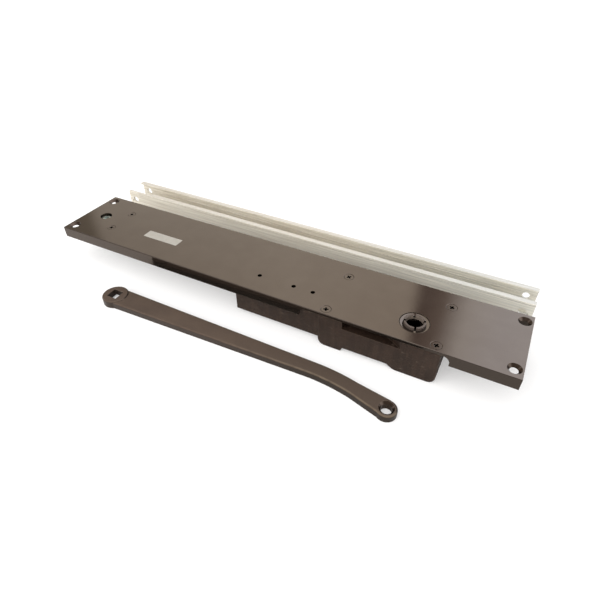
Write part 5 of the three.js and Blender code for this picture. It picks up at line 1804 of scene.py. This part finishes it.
@dataclass
class LeverArm(Assembly):
    """The forged arm: a boss with a square hole, a tapering shank and an eye."""

    root_half: float = 12.9 * MM
    knee_half: float = 7.5 * MM
    knee: float = 273.4 * MM
    toe: float = 60.8 * MM
    bend: float = math.radians(-13.4)
    bend_reach: float = 25.0 * MM
    bend_steps: int = 10
    thickness: float = 8.4 * MM
    boss_thickness: float = 9.6 * MM
    boss_radius: float = 14.8 * MM
    eye_radius: float = 10.2 * MM
    square: float = 13.0 * MM
    eye_hole: float = 5.5 * MM
    eye_chamfer: float = 2.0 * MM
    flare: float = 2.0 * MM
    edge: float = 2.2 * MM
    rear_edge: float = 0.7 * MM
    boss_edge: float = 1.6 * MM
    foot_edge: float = 0.5 * MM
    fine_edge: float = 0.3 * MM

    def build(self) -> None:
        """Makes the arm along X from its boss, then turns and moves it to its place."""
        boss_at, eye_at = opening_at("arm_square"), opening_at("arm_eye")
        boss_at.z = eye_at.z = 0
        self.knee_at = Vector((self.knee, 0, 0))
        self.toe_way = Vector((math.cos(self.bend), math.sin(self.bend), 0))
        self.eye_at = self.knee_at + self.toe_way * self.toe
        seen = eye_at - boss_at
        yaw = math.atan2(seen.y, seen.x) - math.atan2(self.eye_at.y, self.eye_at.x)
        arm = self._shank()
        eye = rounded(self.eye_radius, self.thickness, self.foot_edge, self.edge)
        boss = rounded(self.boss_radius, self.boss_thickness, self.foot_edge, self.boss_edge)
        ends = [
            Piece.turned("eye", eye, self.eye_at, Sides.RING),
            Piece.turned("boss", boss, (0, 0, 0), Sides.BOSS),
        ]
        arm.weld(ends)
        arm.cut([self._square_tool(), self._eye_tool()])
        arm.ease_edges(self.fine_edge, angle=44.0)
        arm.turn(yaw, (0, 0, 0)).move(boss_at)
        arm.place(self.paints, "closer", Slot.ARM_PAINT, ["lever_arm"])
        # Painted shade on the eye's bore and chamfer, by a darker finish.
        reach = self.eye_hole + self.eye_chamfer + 2 * SLACK
        arm.line(self.paints, PAINTED_BORE_SHADE, lambda c, n: abs(n.z) < LOOKS and (c.xy - eye_at.xy).length < reach)

    def _square_tool(self) -> Piece:
        """The boss's square hole, flared at its foot.

        Returns:
            The tool, in the arm's own frame.
        """
        half, flare, axis = self.square / 2, self.flare, Vector()
        tool = Piece.post("square tool", axis, (half, half), flare, self.boss_thickness + PAST)
        mouth = Piece.post("mouth tool", axis, (half, half), -flare, flare)
        mouth.scale_foot(1 + 2 * flare / half)
        return tool.weld([mouth])

    def _eye_tool(self) -> Piece:
        """The eye's round hole, chamfered at its top.

        Returns:
            The tool, in the arm's own frame.
        """
        hole, chamfer, top = self.eye_hole, self.eye_chamfer, self.thickness
        profile = [(hole, -PAST), (hole, top - chamfer), (hole + chamfer + PAST, top + PAST)]
        return Piece.turned("eye tool", profile, self.eye_at, Sides.BORE)

    def _stations(self) -> list[tuple[Vector, float]]:
        """The middle line and half widths, from the boss to the eye, in the arm's own frame.

        Returns:
            A place and a half width for each station.
        """
        start = Vector((self.knee - self.bend_reach, 0, 0))
        end = self.knee_at + self.toe_way * self.bend_reach
        stations = [(Vector((0, 0, 0)), self.root_half)]
        for step in range(self.bend_steps + 1):
            t = step / self.bend_steps
            at = start * (1 - t) ** 2 + self.knee_at * 2 * t * (1 - t) + end * t ** 2
            stations.append((at, self.knee_half))
        stations.append((self.eye_at, self.eye_radius))
        return stations

    def _shank(self) -> Piece:
        """The shank, drawn out station by station from the boss, with its four long edges rounded.

        Returns:
            The shank, in the arm's own frame.
        """
        stations = self._stations()
        last = len(stations) - 1
        place, half = stations[0]
        angle = 0.0
        shank = Piece.block("lever_arm_forging", (-SLACK, -half, 0), (0, half, self.thickness))
        shank.pick(Part.FACES, lambda c, n: n.x > LOOKS)
        for index, (at, next_half) in enumerate(stations[1:], 1):
            way = (stations[min(index + 1, last)][0] - place).normalized()
            heading = math.atan2(way.y, way.x)
            bpy.ops.mesh.extrude_region_move(TRANSFORM_OT_translate={"value": tuple(at - place)})
            centre = (at.x, at.y, self.thickness / 2)
            bpy.ops.transform.resize(
                value=(1, next_half / half, 1), center_override=centre, orient_type="GLOBAL",
                orient_matrix=Matrix.Rotation(angle, 3, "Z").transposed(), orient_matrix_type="GLOBAL",
            )
            bpy.ops.transform.rotate(value=-(heading - angle), orient_axis="Z", center_override=centre)
            place, half, angle = at, next_half, heading
        Piece.clear()
        for level, side, width, segments in (
            (self.thickness, -1, self.edge, 5), (self.thickness, 1, self.rear_edge, 2),
            (0.0, -1, self.foot_edge, 1), (0.0, 1, self.foot_edge, 1),
        ):
            self._round_long_edge(shank, level, side, width, segments)
        return shank

    def _round_long_edge(self, shank: Piece, level: float, side: int, width: float, segments: int) -> None:
        """Rounds one of the shank's four long edges.

        Args:
            shank: The shank, in the arm's own frame.
            level: The edge's height.
            side: -1 for the front, 1 for the rear.
            width: How far back the round starts.
            segments: Steps round it.
        """

        def across(at: Vector) -> float:
            """How far a point lies from the middle line, towards the picked side."""
            return side * (at.y - max(0.0, at.x - self.knee) * math.tan(self.bend))

        shank.bevel_edges(
            lambda a, b: max(abs(a.z - level), abs(b.z - level)) < NEAR
            and abs(a.x - b.x) > abs(a.y - b.y) and min(across(a), across(b)) > 0.3 * self.knee_half,
            width, segments,
        )


@dataclass
class SlideTrack(Assembly):
    """The extruded channel with two lips, lying open side up."""

    length: float = 556.6 * MM
    width: float = 31.3 * MM
    wall: float = 2.2 * MM
    lip: float = 6.2 * MM
    lip_thickness: float = 1.8 * MM
    groove: float = 0.7 * MM
    groove_below_lip: float = 0.2 * MM
    rib: float = 0.8 * MM
    rib_root: float = 0.5 * MM
    rib_heights: tuple[float, ...] = (13 * MM, 27 * MM)
    skew: float = math.radians(-0.5)
    entry: float = 39 * MM
    corner: float = 3 * MM
    hole: float = 4 * MM
    hole_from_end: float = 10.8 * MM
    hole_below_top: float = 12 * MM
    pilot: float = 1.6 * MM
    pilot_from_end: float = 5.4 * MM
    pilot_below_hole: float = 2.4 * MM
    edge: float = 0.3 * MM

    def build(self) -> None:
        """Makes the track."""
        low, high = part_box("slide_track")
        self.centre = middle("slide_track")
        self.height = high.z - low.z
        self.left = self.centre.x - self.length / 2
        self.front = self.centre.y - self.width / 2
        track = self._channel()
        track.cut([self._entry_tool()])
        inside = self.front + self.wall
        track.bevel_edges(
            lambda a, b: max(a.x, b.x) < self.left + NEAR and min(a.z, b.z) > self.height - 2 * NEAR
            and max(a.y, b.y) < inside + NEAR and abs(a.y - b.y) > 0.5 * self.wall,
            self.corner, segments=6,
        )
        track.cut(self._holes())
        track.ease_edges(self.edge)
        track.turn(self.skew, self.centre)
        track.place(self.paints, "closer", Slot.ALUMINIUM, ["slide_track"])

    def _bar(self, name: str, sides: Sequence[float], levels: Sequence[float], past: float = PAST) -> Piece:
        """A bar the length of the track.

        Args:
            name: The piece's name.
            sides: Its sides, counted from the track's middle line.
            levels: Its foot and its top.
            past: How far it passes both ends of the track.

        Returns:
            The bar.
        """
        half = self.length / 2 + past
        x, y = self.centre.xy
        return Piece.block(name, (x - half, y + sides[0], levels[0]), (x + half, y + sides[1], levels[1]))

    def _channel(self) -> Piece:
        """The extrusion's section, full length.

        Returns:
            The channel, without its holes.
        """
        half, top = self.width / 2, self.height
        track = self._bar("slide_track_extrusion", (-half, half), (0, top), 0.0)
        inner, mouth = half - self.wall, half - self.lip
        ceiling = top - self.lip_thickness
        hollow = self._bar("hollow tool", (-inner, inner), (self.wall, ceiling))
        hollow.weld([self._bar("slot tool", (-mouth, mouth), (ceiling - PAST, top + PAST))])
        track.cut([hollow])
        under = ceiling - self.groove_below_lip
        for sides in ((-half - PAST, -half + self.groove), (half - self.groove, half + PAST)):
            track.cut([self._bar("groove tool", sides, (under - self.groove, under))])
        for level in self.rib_heights:
            for side in (-1, 1):
                sides = sorted((side * (inner - self.rib), side * (inner + self.rib_root)))
                track.weld([self._bar("rib", sides, (level - self.rib / 2, level + self.rib / 2), 0.0)])
        return track

    def _entry_tool(self) -> Piece:
        """The tool that opens the front lip at the left end.

        Returns:
            The tool.
        """
        return Piece.block(
            "entry tool",
            (self.left - PAST, self.front + self.wall, self.height - self.lip_thickness - NEAR),
            (self.left + self.entry, self.front + self.lip + PAST, self.height + PAST),
        )

    def _holes(self) -> list[Piece]:
        """The tools for the screw holes and pilot holes at both ends.

        Returns:
            The tools.
        """
        level = self.height - self.hole_below_top
        reach = self.wall + self.rib + 2 * PAST
        tools = []
        for end in (-1, 1):
            far = self.centre.x + end * self.length / 2
            at = (far - end * self.hole_from_end, self.front - PAST, level)
            tools.append(Piece.rod("hole tool", self.hole, at, self.width + 2 * PAST, Sides.HOLE, Axis.Y))
            at = (far - end * self.pilot_from_end, self.front - PAST, level - self.pilot_below_hole)
            tools.append(Piece.rod("pilot tool", self.pilot, at, reach, Sides.PILOT, Axis.Y))
        return tools


# -------------------------------------------------------------------- studio


@dataclass(frozen=True)
class Lamp:
    """A square lamp that looks at the origin."""

    name: str
    place: Triple
    size: float
    power: float

    def light(self) -> None:
        """Puts the lamp in the scene, unseen in reflections."""
        data = bpy.data.lights.new(self.name, "AREA")
        data.size = self.size
        data.energy = self.power
        lamp = bpy.data.objects.new(self.name, data)
        bpy.context.scene.collection.objects.link(lamp)
        lamp.location = self.place
        lamp.rotation_euler = (-lamp.location).to_track_quat("-Z", "Y").to_euler()
        lamp.visible_glossy = False


LAMPS = (
    Lamp("overhead lamp", (-0.35, 0.35, 1.5), 1.4, 5.0),
    Lamp("front lamp", (-0.8, -1.2, 0.9), 1.0, 5.0),
)

BEARINGS = (60.0, 180.0)
# The light that polished faces mirror from each bearing, in degrees from X towards Y.
BANDS = (
    (60.0, (1.95, 2.05, 2.20)), (87.0, (1.90, 2.00, 2.15)), (92.0, (1.72, 1.77, 1.79)),
    (95.5, (0.56, 0.47, 0.42)), (98.7, (0.29, 0.215, 0.19)), (100.4, (1.28, 1.21, 1.08)),
    (118.0, (1.34, 1.29, 1.16)), (143.1, (0.97, 0.91, 0.80)), (144.4, (0.42, 0.37, 0.29)),
    (178.0, (0.50, 0.45, 0.40)),
)
BEHIND = (0.38, 0.34, 0.31)
SKY_REAR = (0.60, 0.60, 0.61)
SKY_FRONT = (2.6, 2.55, 2.5)
WHITE = (1.0, 1.0, 1.0)


@dataclass
class Studio:
    """Pale floor, soft light and the camera."""

    camera_place: Triple = (0.231100, -0.367332, 0.353615)
    camera_turn: Triple = (50.1189, 0.1004, 27.2497)
    lens: float = 28.2975
    sensor: float = 36.0
    floor_size: float = 12.0
    floor_colour: Colour = (0.68, 0.68, 0.68)
    floor_glow: float = 0.32

    def build(self) -> None:
        """Sets up everything round the object."""
        self._camera()
        self._floor()
        self._world()
        for lamp in LAMPS:
            lamp.light()
        bpy.context.scene.view_settings.view_transform = "Standard"

    def _camera(self) -> None:
        """Adds the camera and makes it the scene's."""
        data = bpy.data.cameras.new("camera")
        data.lens = self.lens
        data.sensor_width = self.sensor
        data.clip_start = 10 * MM
        camera = bpy.data.objects.new("camera", data)
        bpy.context.scene.collection.objects.link(camera)
        camera.location = self.camera_place
        camera.rotation_euler = tuple(math.radians(a) for a in self.camera_turn)
        bpy.context.scene.camera = camera

    def _floor(self) -> None:
        """A white floor that keeps the object's shadow."""
        bpy.ops.object.select_all(action="DESELECT")
        bpy.ops.mesh.primitive_plane_add(size=self.floor_size, location=(0, 0, 0))
        floor = bpy.context.active_object
        floor.name = "floor"
        material = bpy.data.materials.new("white floor")
        material.use_nodes = True
        r = Recipe(material.node_tree)
        shader = r.tree.nodes["Principled BSDF"]
        r.feed(shader.inputs["Base Color"], self.floor_colour)
        r.feed(shader.inputs["Roughness"], 0.9)
        r.feed(shader.inputs["Specular IOR Level"], 0.0)
        glow = r.node("Emission")
        r.feed(glow.inputs["Color"], WHITE)
        seen = r.node("LightPath").outputs["Is Camera Ray"]
        r.join(r.times(seen, self.floor_glow), glow.inputs["Strength"])
        both = r.fed("AddShader", shader.outputs[0], glow.outputs[0])
        r.join(both, r.tree.nodes["Material Output"].inputs["Surface"])
        floor.data.materials.append(material)

    def _world(self) -> None:
        """White all round for the camera, a plain sky for soft light, and bands for what is polished."""
        world = bpy.data.worlds.new("studio")
        bpy.context.scene.world = world
        world.use_nodes = True
        r = Recipe(world.node_tree)
        rays = r.node("LightPath").outputs
        way = r.parts(r.node("TexCoord").outputs["Generated"])
        behind = r.spread(way["Y"], -0.05, -0.3)
        below_lamp = r.spread(way["Z"], 0.95, 0.8)
        polished = r.blend(r.times(behind, below_lamp), self._bands(r, way), BEHIND)
        polished = r.blend(1.0, polished, r.spread(way["Z"], 0.02, 0.3, 0.4, 1.0), "MULTIPLY")
        soft = r.blend(r.spread(way["Y"], 0.2, -0.9), SKY_REAR, SKY_FRONT)
        plain = r.blend(rays["Is Camera Ray"], soft, WHITE)
        back = r.tree.nodes["Background"]
        r.join(r.blend(rays["Is Glossy Ray"], plain, polished), back.inputs["Color"])
        back.inputs["Strength"].default_value = 1.0
        r.join(back.outputs[0], r.tree.nodes["World Output"].inputs["Surface"])

    @staticmethod
    def _bands(r: Recipe, way: bpy.types.NodeOutputs) -> Socket:
        """Bands of light and dark by bearing.

        Args:
            r: The world's tree.
            way: The parts of the direction that is looked in.

        Returns:
            The bands' colour.
        """
        first, last = BEARINGS
        bands = r.node("ValToRGB")
        bearing = r.calculate("ARCTAN2", way["Y"], way["X"])
        r.join(r.spread(bearing, math.radians(first), math.radians(last)), bands.inputs[0])
        stops = bands.color_ramp.elements
        while len(stops) < len(BANDS):
            stops.new(0.5)
        for stop, (angle, colour) in zip(stops, BANDS):
            stop.position = (angle - first) / (last - first)
            stop.color = (*colour, 1)
        return bands.outputs["Color"]


def main() -> None:
    """Builds the whole scene in order."""
    logging.basicConfig(level=logging.INFO, format="%(message)s")
    paints = Paintbox()
    dress_cad(paints)
    for assembly in (
        FacePlate, FlatHeadScrews, Spindle, CloserBody, HangerParts, SpringHousing, LeverArm, SlideTrack
    ):
        LOG.info("building %s", assembly.__name__)
        assembly(paints).build()
    Studio().build()


if __name__ == "__main__":
    main()
